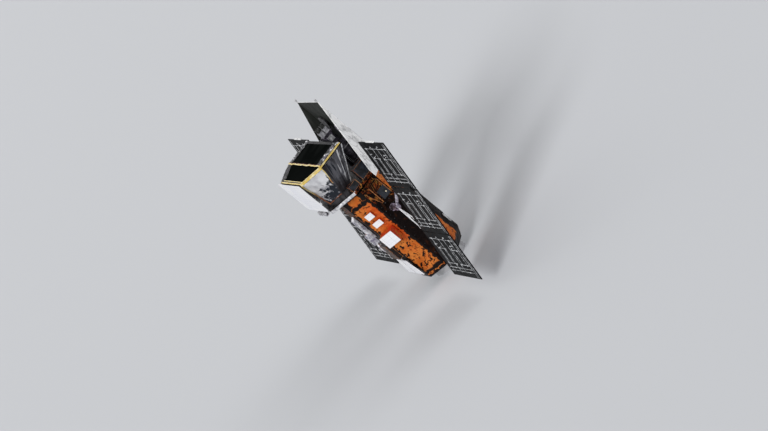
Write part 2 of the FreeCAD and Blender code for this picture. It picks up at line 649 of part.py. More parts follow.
def wing_panel(centre_z, upper_hinge, lower_hinge):
    """A flat panel with its field of cells in front, and the halves of the hinges on its ends.

    A hinge is (side, part): side is the face, -1 for the back, that it folds to, and part is
    0 for the outer knuckles and pin or 1 for the inner knuckle.
    """
    low_z = centre_z - PANEL_LENGTH / 2
    high_z = centre_z + PANEL_LENGTH / 2
    outer_y = WING_INNER_Y + PANEL_WIDTH
    front = PANEL_THICK / 2
    solid = block((-front, WING_INNER_Y, low_z), (front, outer_y, high_z))
    back_edges = [edge for edge in solid.Edges if edge.BoundBox.XMax < 0]
    solid = solid.makeChamfer(PANEL_EDGE_CHAMFER, back_edges)
    margin = CELL_FIELD_MARGIN
    cells = block((front, WING_INNER_Y + margin, low_z + margin),
                  (front + CELL_FIELD_THICK, outer_y - margin, high_z - margin))
    solid = solid.fuse(cells)
    for hinge, edge_z, direction in ((upper_hinge, high_z, 1), (lower_hinge, low_z, -1)):
        if hinge is None:
            continue
        side, part = hinge
        for share in (KNUCKLE_INSET_SHARE, 1 - KNUCKLE_INSET_SHARE):
            y = WING_INNER_Y + share * PANEL_WIDTH
            solid = add_knuckles(solid, y, edge_z, direction, side, part)
    return solid


def knuckle(y_low, y_high, edge_z, direction, side):
    """A lug on the panel's face that runs past its edge, its nose a half octagon round the axis."""
    axis_x = side * FOLD_AXIS_DEPTH
    axis_z = edge_z + direction * PANEL_SPACE / 2
    reach = HINGE_LUG_SIZE / 2
    corner = reach * math.tan(math.pi / 8)
    seat_x = side * (PANEL_THICK / 2 - PANEL_EDGE_CHAMFER)
    tail_z = edge_z - direction * KNUCKLE_GRIP
    inner_x = axis_x - side * reach
    outer_x = axis_x + side * reach
    nose_z = axis_z + direction * reach
    outline = [(seat_x, tail_z), (outer_x, tail_z), (outer_x, axis_z + direction * corner),
               (axis_x + side * corner, nose_z), (axis_x - side * corner, nose_z),
               (inner_x, axis_z + direction * corner), (inner_x, axis_z), (seat_x, axis_z)]
    return polygon_face([(x, y_low, z) for x, z in outline]).extrude(FreeCAD.Vector(0, y_high - y_low, 0))


def add_knuckles(solid, y, edge_z, direction, side, part):
    """Two outer knuckles joined by the pin, or one inner knuckle bored for it."""
    axis_x = side * FOLD_AXIS_DEPTH
    axis_z = edge_z + direction * PANEL_SPACE / 2
    half = KNUCKLE_LENGTH / 2
    outer = half + KNUCKLE_LENGTH
    if part == 1:
        half_lug = half - KNUCKLE_SPACE
        solid = solid.fuse(knuckle(y - half_lug, y + half_lug, edge_z, direction, side))
        return solid.cut(rod((axis_x, y - outer, axis_z), (axis_x, y + outer, axis_z), HINGE_PIN_D))
    for low, high in ((y - outer, y - half), (y + half, y + outer)):
        solid = solid.fuse(knuckle(low, high, edge_z, direction, side))
    pin_d = HINGE_PIN_D - 2 * HINGE_PIN_CLEARANCE
    return solid.fuse(rod((axis_x, y - half, axis_z), (axis_x, y + half, axis_z), pin_d))


def tip_bar():
    """A low bar with sloping ends on the upper panel's free edge."""
    low_z = PANEL_PITCH + PANEL_LENGTH / 2
    y_low = WING_INNER_Y + TIP_BAR_INNER_SHARE * PANEL_WIDTH
    y_high = y_low + TIP_BAR_LENGTH
    half = TIP_BAR_THICK / 2
    outline = [(y_low, low_z), (y_high, low_z), (y_high - TIP_BAR_HEIGHT, low_z + TIP_BAR_HEIGHT),
               (y_low + TIP_BAR_HEIGHT, low_z + TIP_BAR_HEIGHT)]
    bar = polygon_face([(-half, y, z) for y, z in outline]).extrude(FreeCAD.Vector(TIP_BAR_THICK, 0, 0))
    return bar


def wing_placement(tilt):
    """The drive axis's place, turned by a tilt about it."""
    return FreeCAD.Placement(FreeCAD.Vector(WING_AXIS_X, 0, WING_AXIS_Z),
                             FreeCAD.Rotation(FreeCAD.Vector(0, 1, 0), tilt))


DRIVE_WALL_Y = BUS_FLATS / 2 + SEAT_GAP
HOUSING_END_Y = DRIVE_WALL_Y + DRIVE_HOUSING_LENGTH
SOCKET_Y = HOUSING_END_Y - DRIVE_SHAFT_ENGAGEMENT
HUB_FOOT_Y = HOUSING_END_Y + HUB_RUNNING_GAP
HUB_HEAD_Y = HUB_FOOT_Y + HUB_FLANGE_THICK + HUB_NECK_LENGTH
HUB_END_Y = HUB_HEAD_Y + HUB_HEAD_LENGTH


def drive_housing():
    """The drive's round housing on a square plate, bored for the wing's shaft."""
    half = DRIVE_PLATE_SIZE / 2
    plate = block((-half, DRIVE_WALL_Y, -half), (half, DRIVE_WALL_Y + DRIVE_PLATE_THICK, half))
    housing = rod((0, DRIVE_WALL_Y, 0), (0, HOUSING_END_Y, 0), DRIVE_HOUSING_D).fuse(plate)
    return housing.cut(rod((0, SOCKET_Y, 0), (0, HOUSING_END_Y + OVERRUN, 0), DRIVE_SHAFT_D))


def hub_profile(grow):
    """Half section of the hub along its axis, from the shaft's tip, drawn out by a gap."""
    shaft = DRIVE_SHAFT_D / 2 - DRIVE_SHAFT_CLEARANCE
    flange = HUB_FLANGE_D / 2 + grow
    neck = HUB_NECK_D / 2 + grow
    head = HUB_HEAD_D / 2 + grow
    tip = SOCKET_Y + HUB_RUNNING_GAP
    return [(tip, 0), (tip, shaft), (HUB_FOOT_Y - grow, shaft), (HUB_FOOT_Y - grow, flange),
            (HUB_FOOT_Y + HUB_FLANGE_THICK + grow, flange), (HUB_FOOT_Y + HUB_FLANGE_THICK + grow, neck),
            (HUB_HEAD_Y - grow, neck), (HUB_HEAD_Y - grow, head),
            (HUB_END_Y + grow, head), (HUB_END_Y + grow, 0)]


def yoke_fitting(reach):
    """The block that joins an arm to the panel's inner edge."""
    half = YOKE_FITTING_LENGTH / 2
    end_y = WING_INNER_Y - SEAT_GAP
    return block((-PANEL_THICK / 2, end_y - YOKE_FITTING_DEPTH, reach - half),
                 (PANEL_THICK / 2, end_y, reach + half))


def yoke_arm(reaches, tube_d):
    """Tubes that fan out from the hub's head to fittings on the panel's inner edge, and a tie if two."""
    apex = (HUB_HEAD_Y + HUB_END_Y) / 2
    end_y = WING_INNER_Y - SEAT_GAP - YOKE_FITTING_DEPTH / 2
    arm = None
    for reach in reaches:
        tube = rod((0, apex, 0), (0, end_y, reach), tube_d).fuse(yoke_fitting(reach))
        arm = tube if arm is None else arm.fuse(tube)
    if len(reaches) > 1:
        tie_y = apex + YOKE_TIE_SHARE * (end_y - apex)
        low, high = [YOKE_TIE_SHARE * reach for reach in reaches]
        arm = arm.fuse(rod((0, tie_y, low), (0, tie_y, high), tube_d))
    side = math.copysign(1, reaches[0])
    spread = WING_INNER_Y
    z = sorted((side * YOKE_PART_GAP / 2, -side * spread))
    other_side = block((-spread, 0, z[0]), (spread, spread, z[1]))
    return arm.cut(turned(hub_profile(SEAT_GAP), (0, 0, 0), (0, 1, 0))).cut(other_side)


def make_wing():
    """The wing on the +Y side, and its mirror image on the other."""
    housing = drive_housing()
    housing.Placement = wing_placement(0)
    pieces = [("drive_housing", housing)]
    upper = wing_panel(PANEL_PITCH, None, (-1, 1)).fuse(tip_bar())
    for name, solid in (
            ("wing_hub", turned(hub_profile(0), (0, 0, 0), (0, 1, 0))),
            ("yoke_arm_lower", yoke_arm((-YOKE_LOWER_NEAR_REACH, -YOKE_LOWER_FAR_REACH), YOKE_LOWER_TUBE_D)),
            ("yoke_arm_upper", yoke_arm((YOKE_UPPER_REACH,), YOKE_UPPER_TUBE_D)),
            ("wing_panel_middle", wing_panel(0, (-1, 0), (1, 0))),
            ("wing_panel_upper", upper),
            ("wing_panel_lower", wing_panel(-PANEL_PITCH, (1, 1), None))):
        solid = solid.removeSplitter()
        solid.Placement = wing_placement(WING_TILT).multiply(solid.Placement)
        pieces.append((name, solid))
    for name, solid in pieces:
        save(name + "_left", solid)
        save(name + "_right", mirrored_in_y(solid))


def main():
    os.makedirs("parts", exist_ok=True)
    make_launch_ring()
    make_bus()
    make_bench()
    make_mask()
    make_mask_radiator()
    make_telescope("xray", XRAY_X, XRAY_Y, XRAY_OUTER_D, XRAY_TOP_Z)
    make_telescope("uv", UV_X, UV_Y, UV_OUTER_D, UV_TOP_Z)
    make_star_trackers()
    make_sunshade()
    make_radiator_boxes()
    make_rear_face()
    make_bench_boxes()
    make_sun_antenna()
    make_wing()


main()
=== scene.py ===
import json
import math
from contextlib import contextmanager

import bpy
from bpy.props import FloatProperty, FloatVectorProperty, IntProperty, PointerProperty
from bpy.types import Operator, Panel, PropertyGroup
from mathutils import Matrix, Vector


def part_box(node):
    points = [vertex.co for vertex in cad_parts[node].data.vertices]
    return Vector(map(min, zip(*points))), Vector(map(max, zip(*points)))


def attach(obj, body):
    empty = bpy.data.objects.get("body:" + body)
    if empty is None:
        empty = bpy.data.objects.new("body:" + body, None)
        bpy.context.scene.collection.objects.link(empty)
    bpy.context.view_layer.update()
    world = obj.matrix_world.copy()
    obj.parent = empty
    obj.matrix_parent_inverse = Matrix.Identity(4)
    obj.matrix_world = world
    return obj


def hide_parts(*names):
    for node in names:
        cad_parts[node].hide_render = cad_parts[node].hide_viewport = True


bl_info = {
    "name": "Astronomy satellite finish",
    "version": (1, 0, 0),
    "blender": (4, 5, 0),
    "location": "View3D > Sidebar > Satellite",
    "description": "Wraps the satellite's solids in film, tape, wiring, cells and radiators",
    "category": "Add Mesh",
}

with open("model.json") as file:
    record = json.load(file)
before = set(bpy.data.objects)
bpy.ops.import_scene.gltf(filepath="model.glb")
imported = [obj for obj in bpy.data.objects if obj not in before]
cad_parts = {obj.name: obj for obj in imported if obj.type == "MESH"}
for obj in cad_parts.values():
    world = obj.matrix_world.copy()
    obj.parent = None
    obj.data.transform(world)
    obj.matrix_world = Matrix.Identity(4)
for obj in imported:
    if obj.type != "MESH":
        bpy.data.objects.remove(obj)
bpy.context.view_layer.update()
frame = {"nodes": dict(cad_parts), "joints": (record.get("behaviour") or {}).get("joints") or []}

# Names of the two sides, with the sign of Y on each
SIDES = (("left", 1.0), ("right", -1.0))
SPACECRAFT = "spacecraft"
UP = Vector((0.0, 0.0, 1.0))
HALF_ROOT = math.sqrt(0.5)
# Corners closer than this are one
WELD = 0.00002
move = Matrix.Translation


def ink(red, green, blue):
    """A colour as a painter reads it off a chart, turned into Blender's linear values."""
    def linear(part):
        share = part / 255.0
        return share / 12.92 if share <= 0.04045 else ((share + 0.055) / 1.055) ** 2.4
    return (linear(red), linear(green), linear(blue), 1.0)


def colour(name, text, *parts):
    return FloatVectorProperty(name=name, description=text, default=ink(*parts), subtype="COLOR", size=4,
                               min=0.0, max=1.0)


def amount(name, text, value, **more):
    return FloatProperty(name=name, description=text, default=value, min=0.0, **more)


def length(name, text, value):
    return amount(name, text, value, unit="LENGTH")


class SatelliteFilm(PropertyGroup):
    """Folds and colours of the film blankets."""

    fold_height: length("Fold height", "How far the bus film is pushed in and out", 0.014)
    fold_size: length("Fold size", "Distance between the creases of the bus film", 0.16)
    skin_step: length("Skin step", "Side of the small squares that the bus film is made of", 0.020)
    orange: colour("Orange", "Main colour of the bus film", 192, 98, 32)
    amber: colour("Amber", "Lighter patches of the bus film", 210, 123, 52)
    # Ember also paints the red reflection beside the radiator boxes and the shade on the boxes' orange sides
    ember: colour("Ember", "Red patches and the sides of the radiator boxes", 206, 58, 18)
    gold: colour("Gold", "Glints on the dark film", 190, 132, 62)
    rust: colour("Rust", "Dull patches of the orange film", 132, 58, 20)
    brown: colour("Brown", "Folds of the dark film", 50, 26, 14)
    # Soot also paints shade on the orange film: the crumples' shadows and the crease under the bench
    soot: colour("Soot", "Creases and torn places", 16, 9, 8)
    silver: colour("Silver", "Crinkled silver film", 168, 168, 174)
    bright: colour("Bright silver", "Highlights of the silver film", 232, 232, 234)
    violet: colour("Violet", "Shaded folds of the silver film", 104, 94, 120)


class SatelliteMask(PropertyGroup):
    """Tape widths and colours of the coded mask and its shield."""

    tape_width: length("Tape width", "Width of the yellow tape on the mask's long near edge", 0.034)
    slant_width: length("Slanted tape width", "Width of the yellow tape on the mask's slanted edge", 0.056)
    knee_width: length("Knee tape width", "Width of the tape across the mask", 0.032)
    far_border: length("Far border", "Width of the crinkled border on the far edges", 0.210)
    near_border: length("Near border", "Width of the crinkled strip inside the near tape", 0.270)
    yellow: colour("Yellow", "Tape", 216, 186, 92)
    cream: colour("Cream", "Faded tape", 236, 222, 170)
    rust: colour("Rust", "Aged tape", 170, 92, 38)
    black: colour("Black", "Film over the mask", 14, 16, 15)
    slate: colour("Slate", "Grey bloom on the mask's film", 24, 26, 25)
    stain: colour("Stain", "Blue-black stains on the shield", 26, 32, 42)


class SatelliteWings(PropertyGroup):
    """Wiring, cells and lean of the solar wings."""

    lean: FloatProperty(name="Lean", description="How far the panels lean from upright", subtype="ANGLE",
                        default=math.radians(14.1))
    inner_reach: length("Inner reach", "Distance of the panels' inner edge from the bus axis", 1.800)
    panel_width: length("Panel width", "Size of one panel along the wing", 1.593)
    panel_length: length("Panel length", "Size of one panel up the wing", 1.182)
    panel_space: length("Panel space", "Space between neighbouring panels", 0.020)
    panel_thick: length("Panel thickness", "Thickness of one panel", 0.024)
    cell_margin: length("Cell margin", "Bare rim round the cells", 0.040)
    cell_proud: length("Cell height", "Height of the cells' backs over the panel", 0.003)
    wire_width: length("Wire width", "Width of one flat cable", 0.015)
    wire_thick: length("Wire thickness", "Height of one flat cable", 0.004)
    cells_across: IntProperty(name="Cells across", description="Solar cells in one row", default=36, min=2)
    cells_up: IntProperty(name="Cells up", description="Rows of solar cells", default=15, min=2)
    back: colour("Panel back", "Dark skin of the panels' backs", 15, 16, 17)
    wire: colour("Wire", "Flat cables on the backs", 212, 213, 216)
    cell: colour("Cell", "Solar cells", 22, 28, 70)


class SatelliteFittings(PropertyGroup):
    """Colours of radiators, sunshade and star trackers."""

    white: colour("White", "Radiator paint", 238, 238, 240)
    seam: colour("Seam", "Joints between the radiator's tiles", 150, 154, 164)
    shade_white: colour("Shade white", "Outer skin of the sunshade", 238, 238, 238)
    shade_dark: colour("Shade dark", "Inner skin of the sunshade", 26, 28, 25)
    tracker: colour("Tracker", "Star trackers", 186, 186, 190)


class SatelliteStage(PropertyGroup):
    """Floor, light and camera."""

    floor_size: length("Floor size", "Side of the square floor", 900.0)
    floor: colour("Floor", "Floor and surroundings", 200, 202, 206)
    key_power: amount("Key light", "Strength of the main lamp", 2.0)
    sky_power: amount("Sky", "Strength of the even light", 0.42)
    backdrop: amount("Backdrop", "Brightness behind the floor", 0.63)
    mirrored_sky: amount("Mirrored sky", "Brightness that shiny surfaces reflect", 0.85)
    camera_place: FloatVectorProperty(name="Camera place", description="Where the camera stands",
                                      default=(-8.3266, -46.2586, 15.7455), unit="LENGTH")
    camera_aim: FloatVectorProperty(name="Camera aim", description="The way the camera looks",
                                    default=(0.16603, 0.94443, -0.28370))
    camera_right: FloatVectorProperty(name="Camera right", description="What lies to the picture's right",
                                      default=(0.58704, -0.32582, -0.74110))
    camera_lens: FloatProperty(name="Lens", description="Focal length in mm, for a 36 mm wide picture",
                               default=104.05, min=1.0)


GROUPS = {"satellite_film": SatelliteFilm, "satellite_mask": SatelliteMask, "satellite_wings": SatelliteWings,
          "satellite_fittings": SatelliteFittings, "satellite_stage": SatelliteStage}


def values(group):
    """One group of the scene's settings."""
    return getattr(bpy.context.scene, "satellite_" + group)


# Ways of working

def alone(*pieces):
    """Selects these objects and nothing else, the first one active."""
    bpy.ops.object.select_all(action="DESELECT")
    for piece in pieces:
        piece.select_set(True)
    bpy.context.view_layer.objects.active = pieces[0]


@contextmanager
def editing(piece, test=None):
    """Edit mode on one object with its whole mesh selected, or only the faces that pass a test."""
    alone(piece)
    bpy.context.tool_settings.mesh_select_mode = (False, False, True)
    bpy.ops.object.mode_set(mode="EDIT")
    bpy.ops.mesh.select_all(action="DESELECT" if test else "SELECT")
    if test:
        bpy.ops.object.mode_set(mode="OBJECT")
        for face in piece.data.polygons:
            face.select = test(face.center, face.normal)
        bpy.ops.object.mode_set(mode="EDIT")
    yield
    bpy.ops.object.mode_set(mode="OBJECT")


def looks_up(centre, normal):
    return normal.z > 0.9


def apply_modifier(piece, kind, **settings):
    """Adds a modifier, sets it and applies it."""
    alone(piece)
    bpy.ops.object.modifier_add(type=kind)
    modifier = piece.modifiers[-1]
    for key, value in settings.items():
        setattr(modifier, key, value)
    bpy.ops.object.modifier_apply(modifier=modifier.name)


def break_edges(piece, width, segments=2):
    apply_modifier(piece, "BEVEL", width=width, segments=segments, limit_method="ANGLE")


def crumple(piece, height, size, direction="NORMAL", creased=True):
    """Pushes a skin in and out, in creases or in soft swells of a given size."""
    folds = bpy.data.textures.new(piece.name + "_folds", "VORONOI" if creased else "CLOUDS")
    folds.noise_scale = size
    if creased:
        folds.weight_1 = -1.0
        folds.weight_2 = 1.0
    apply_modifier(piece, "DISPLACE", texture=folds, strength=height, mid_level=0.35 if creased else 0.5,
                   texture_coords="LOCAL", direction=direction)


def smooth(piece, degrees=40.0):
    alone(piece)
    bpy.ops.object.shade_smooth_by_angle(angle=math.radians(degrees))


def surface(origin, across, up):
    """The placing that lays a piece modelled flat at the origin on a surface: X across, Y up, Z outwards."""
    across = Vector(across).normalized()
    up = Vector(up).normalized()
    place = Matrix((across, up, across.cross(up))).transposed().to_4x4()
    place.translation = Vector(origin)
    return place


def upright_surface(normal, reach, height=0.0):
    """The placing on an upright face whose normal leaves the bus axis."""
    normal = Vector(normal).normalized()
    return surface(normal * reach + UP * height, UP.cross(normal), UP)


def settle(piece, place):
    """Puts a piece that was modelled at the origin in its place, inside its mesh."""
    piece.matrix_world = place
    alone(piece)
    bpy.ops.object.transform_apply(location=True, rotation=True, scale=True)


def give_finishes(piece, *finishes):
    piece.data.materials.clear()
    for finish in finishes:
        piece.data.materials.append(paint(finish))


def dress(piece, name, slot, *finishes, body=SPACECRAFT, place=None):
    """Places, names and finishes a piece and lets it ride on its body. Its slot can name its finish."""
    if place is not None:
        settle(piece, place)
    piece.name = name
    give_finishes(piece, *(finishes or (slot,)))
    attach(piece, body)


def stand_in(piece, node, name, slot, *finishes, choose=None):
    """Dresses a piece that replaces a solid. Each face chooses its finish by its centre and normal."""
    dress(piece, name, slot, *finishes)
    if choose:
        for face in piece.data.polygons:
            face.material_index = choose(face.center, face.normal)
    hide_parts(node)


def wrap(node, name, skin, slot, *finishes, choose=None):
    """Replaces a solid by a blanket over it. The skin is its step and the height and size of its folds."""
    stand_in(blanket(node, *skin), node, name, slot, *finishes, choose=choose)


def finish_nodes(**finishes):
    """Solids whose shape is right keep it, and each gets its finish."""
    for node, finish in finishes.items():
        piece = frame["nodes"][node]
        give_finishes(piece, finish)
        smooth(piece, 32.0)


# Shapes

def copy_of(piece):
    """A copy with its own mesh."""
    made = bpy.data.objects.new(piece.name, piece.data.copy())
    bpy.context.scene.collection.objects.link(made)
    return made


def joined(pieces):
    alone(*pieces)
    bpy.ops.object.join()
    return bpy.context.object


def set_of(model, places):
    """One piece made of copies of a small model, one at each place."""
    copies = []
    for place in places:
        copies.append(copy_of(model))
        settle(copies[-1], place)
    bpy.data.objects.remove(model)
    return joined(copies)


def turn_outwards(piece):
    with editing(piece):
        bpy.ops.mesh.remove_doubles(threshold=WELD)
        bpy.ops.mesh.normals_make_consistent(inside=False)


def welded_copy(node):
    """A closed copy of a solid's mesh, with the corners of its flat faces only."""
    made = copy_of(frame["nodes"][node])
    made.data.materials.clear()
    with editing(made):
        bpy.ops.mesh.remove_doubles(threshold=WELD)
        bpy.ops.mesh.dissolve_limited(angle_limit=math.radians(1.0))
    return made


def blanket(node, step, height, size):
    """A soft wrapped copy of a solid: its skin in small squares, rounded at the edges and folded."""
    made = welded_copy(node)
    apply_modifier(made, "REMESH", mode="VOXEL", voxel_size=step)
    apply_modifier(made, "SMOOTH", factor=0.5, iterations=2)
    crumple(made, height * 0.8, size * 2.4, creased=False)
    crumple(made, height, size)
    bpy.ops.object.shade_smooth()
    return made


def sheet_blanket(node, along, step, height, size):
    """A folded copy of a thin plate, cut in squares by planes across Z and across its own length."""
    made = welded_copy(node)
    corners = [corner.co.copy() for corner in made.data.vertices]
    with editing(made):
        for direction in (along, UP):
            reaches = [direction.dot(corner) for corner in corners]
            low = min(reaches)
            span = max(reaches) - low
            count = max(2, round(span / step))
            for cut in range(1, count):
                bpy.ops.mesh.select_all(action="SELECT")
                bpy.ops.mesh.bisect(plane_co=direction * (low + span * cut / count), plane_no=direction)
    crumple(made, height, size * 2.2, creased=False)
    crumple(made, height, size)
    smooth(made)
    return made


def primitive(kind, **settings):
    """One of Blender's primitives at the origin, with nothing else selected."""
    bpy.ops.object.select_all(action="DESELECT")
    getattr(bpy.ops.mesh, f"primitive_{kind}_add")(location=(0.0, 0.0, 0.0), **settings)
    return bpy.context.object


def block(size, middle=(0.0, 0.0, 0.0), edge=0.0, segments=2):
    """A box round a point, its edges broken where they have a width."""
    made = primitive("cube", size=1.0)
    with editing(made):
        bpy.ops.transform.resize(value=size)
        if any(middle):
            bpy.ops.transform.translate(value=middle)
    if edge:
        break_edges(made, edge, segments)
    return made


def sink_top(piece, rim, depth):
    """Leaves a rim on the upper face and pushes its middle down."""
    with editing(piece, looks_up):
        bpy.ops.mesh.inset(thickness=rim)
        bpy.ops.transform.translate(value=(0.0, 0.0, -depth))


def plate(width, height, thick, rim, edge):
    """A flat plate with a raised rim and broken edges, its middle at the origin."""
    made = block((width, height, thick))
    sink_top(made, rim, thick * 0.3)
    break_edges(made, edge)
    smooth(made)
    return made


def raised_cylinder(sides, radius, height, middle):
    """A cylinder along Z whose middle lies at this height."""
    made = primitive("cylinder", vertices=sides, radius=radius, depth=height)
    with editing(made):
        bpy.ops.transform.translate(value=(0.0, 0.0, middle))
    return made


def disc(radius, height, sides=32, edge=0.0015):
    """A round plate with a sunk middle and broken edges, its back on Z = 0."""
    made = raised_cylinder(sides, radius, height, height / 2)
    sink_top(made, radius * 0.25, height * 0.35)
    break_edges(made, edge)
    smooth(made)
    return made


def bolt(radius, height):
    """A hexagonal bolt head with a washer, its back on Z = 0."""
    washer = disc(radius * 1.35, height * 0.3, 24, height * 0.05)
    head = raised_cylinder(6, radius, height, height * 0.62)
    break_edges(head, height * 0.08)
    smooth(head)
    return joined((washer, head))


def hoop(radius, width, thick):
    """A flat band round a tube, its middle at the origin."""
    made = primitive("cylinder", vertices=64, radius=radius, depth=width, end_fill_type="NOTHING")
    apply_modifier(made, "SOLIDIFY", thickness=thick, offset=1.0)
    break_edges(made, thick * 0.3, 1)
    smooth(made)
    return made


def conduit(points, radius):
    """A pipe that runs through the points, its round section kept square to the run as a whole."""
    points = [Vector(point) for point in points]
    run = (points[-1] - points[0]).normalized()
    made = primitive("circle", vertices=20, radius=radius, fill_type="NGON")
    settle(made, move(points[0]) @ run.to_track_quat("Z", "Y").to_matrix().to_4x4())
    with editing(made):
        for start, end in zip(points, points[1:]):
            bpy.ops.mesh.extrude_region_move(TRANSFORM_OT_translate={"value": end - start})
    turn_outwards(made)
    break_edges(made, radius * 0.5, 3)
    smooth(made)
    return made


def strip(start, end, outward, width, thick=0.002, wave=0.0, lift=0.0, step=0.06):
    """A flat strip laid on a surface from one point to another, its edges a little wavy."""
    start = Vector(start)
    run = Vector(end) - start
    # Each strip takes another stretch of the wave
    shift = start.length * 3.0
    made = primitive("grid", x_subdivisions=max(2, round(run.length / step)), y_subdivisions=2, size=1.0)
    with editing(made):
        bpy.ops.transform.resize(value=(run.length, width, 1.0))
        bpy.ops.transform.translate(value=(shift, 0.0, 0.0))
    if wave:
        crumple(made, wave, step * 2.5, direction="Y", creased=False)
        crumple(made, wave * 0.3, step * 2.0, direction="Z", creased=False)
    apply_modifier(made, "SOLIDIFY", thickness=thick, offset=1.0)
    outward = Vector(outward).normalized()
    middle = start + run / 2 + outward * lift
    settle(made, surface(middle, run, outward.cross(run)) @ move((-shift, 0.0, 0.0)))
    return made


def tape(name, slot, finish, *ends_and_width, **more):
    """A strip that is dressed at once."""
    dress(strip(*ends_and_width, **more), name, slot, finish)


def box_trim(node, name, width, finish):
    """Tape along all the edges of a box, as a frame of bars."""
    low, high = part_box(node)
    made = block((high - low) + Vector((0.001, 0.001, 0.001)), (low + high) / 2)
    apply_modifier(made, "WIREFRAME", thickness=width, offset=-0.7, use_even_offset=True, use_boundary=True)
    break_edges(made, width * 0.1, 1)
    dress(made, name, "box_dark", finish)


# Heights and corners that pieces and their finishes share: where the trackers' hoods begin, corners of the
# coded mask's plan from the front to the back, and heights of the mask and of its shield
HOOD_Z = 4.155
MASK_FRONT_X = 0.205
MASK_KNEE_X = -0.476
MASK_BACK_X = -0.973
MASK_HALF = 1.200
MASK_NARROW = 0.728
MASK_TOP_Z = 3.980
SHIELD_TOP_Z = 3.935
SHIELD_FOOT_Z = 3.130
# The shield's folds: foot, outward way on the left side, and the tape's width and finish
SHIELD_FOLDS = {
    "knee": ((-0.556, 0.800), (-0.45, 1.0, -0.4), 0.020, "yellow_tape"),
    "back": ((-0.830, 0.540), (-1.0, 0.5, -0.3), 0.040, "yellow_tape"),
    "front": ((-0.230, 0.800), (0.5, 1.0, -0.4), 0.034, "pale_tape"),
}


# Materials

def tint(value):
    """A colour given as such, or as the group and the name of a setting."""
    if isinstance(value, str):
        group, name = value.split(".")
        return getattr(values(group), name)
    return value


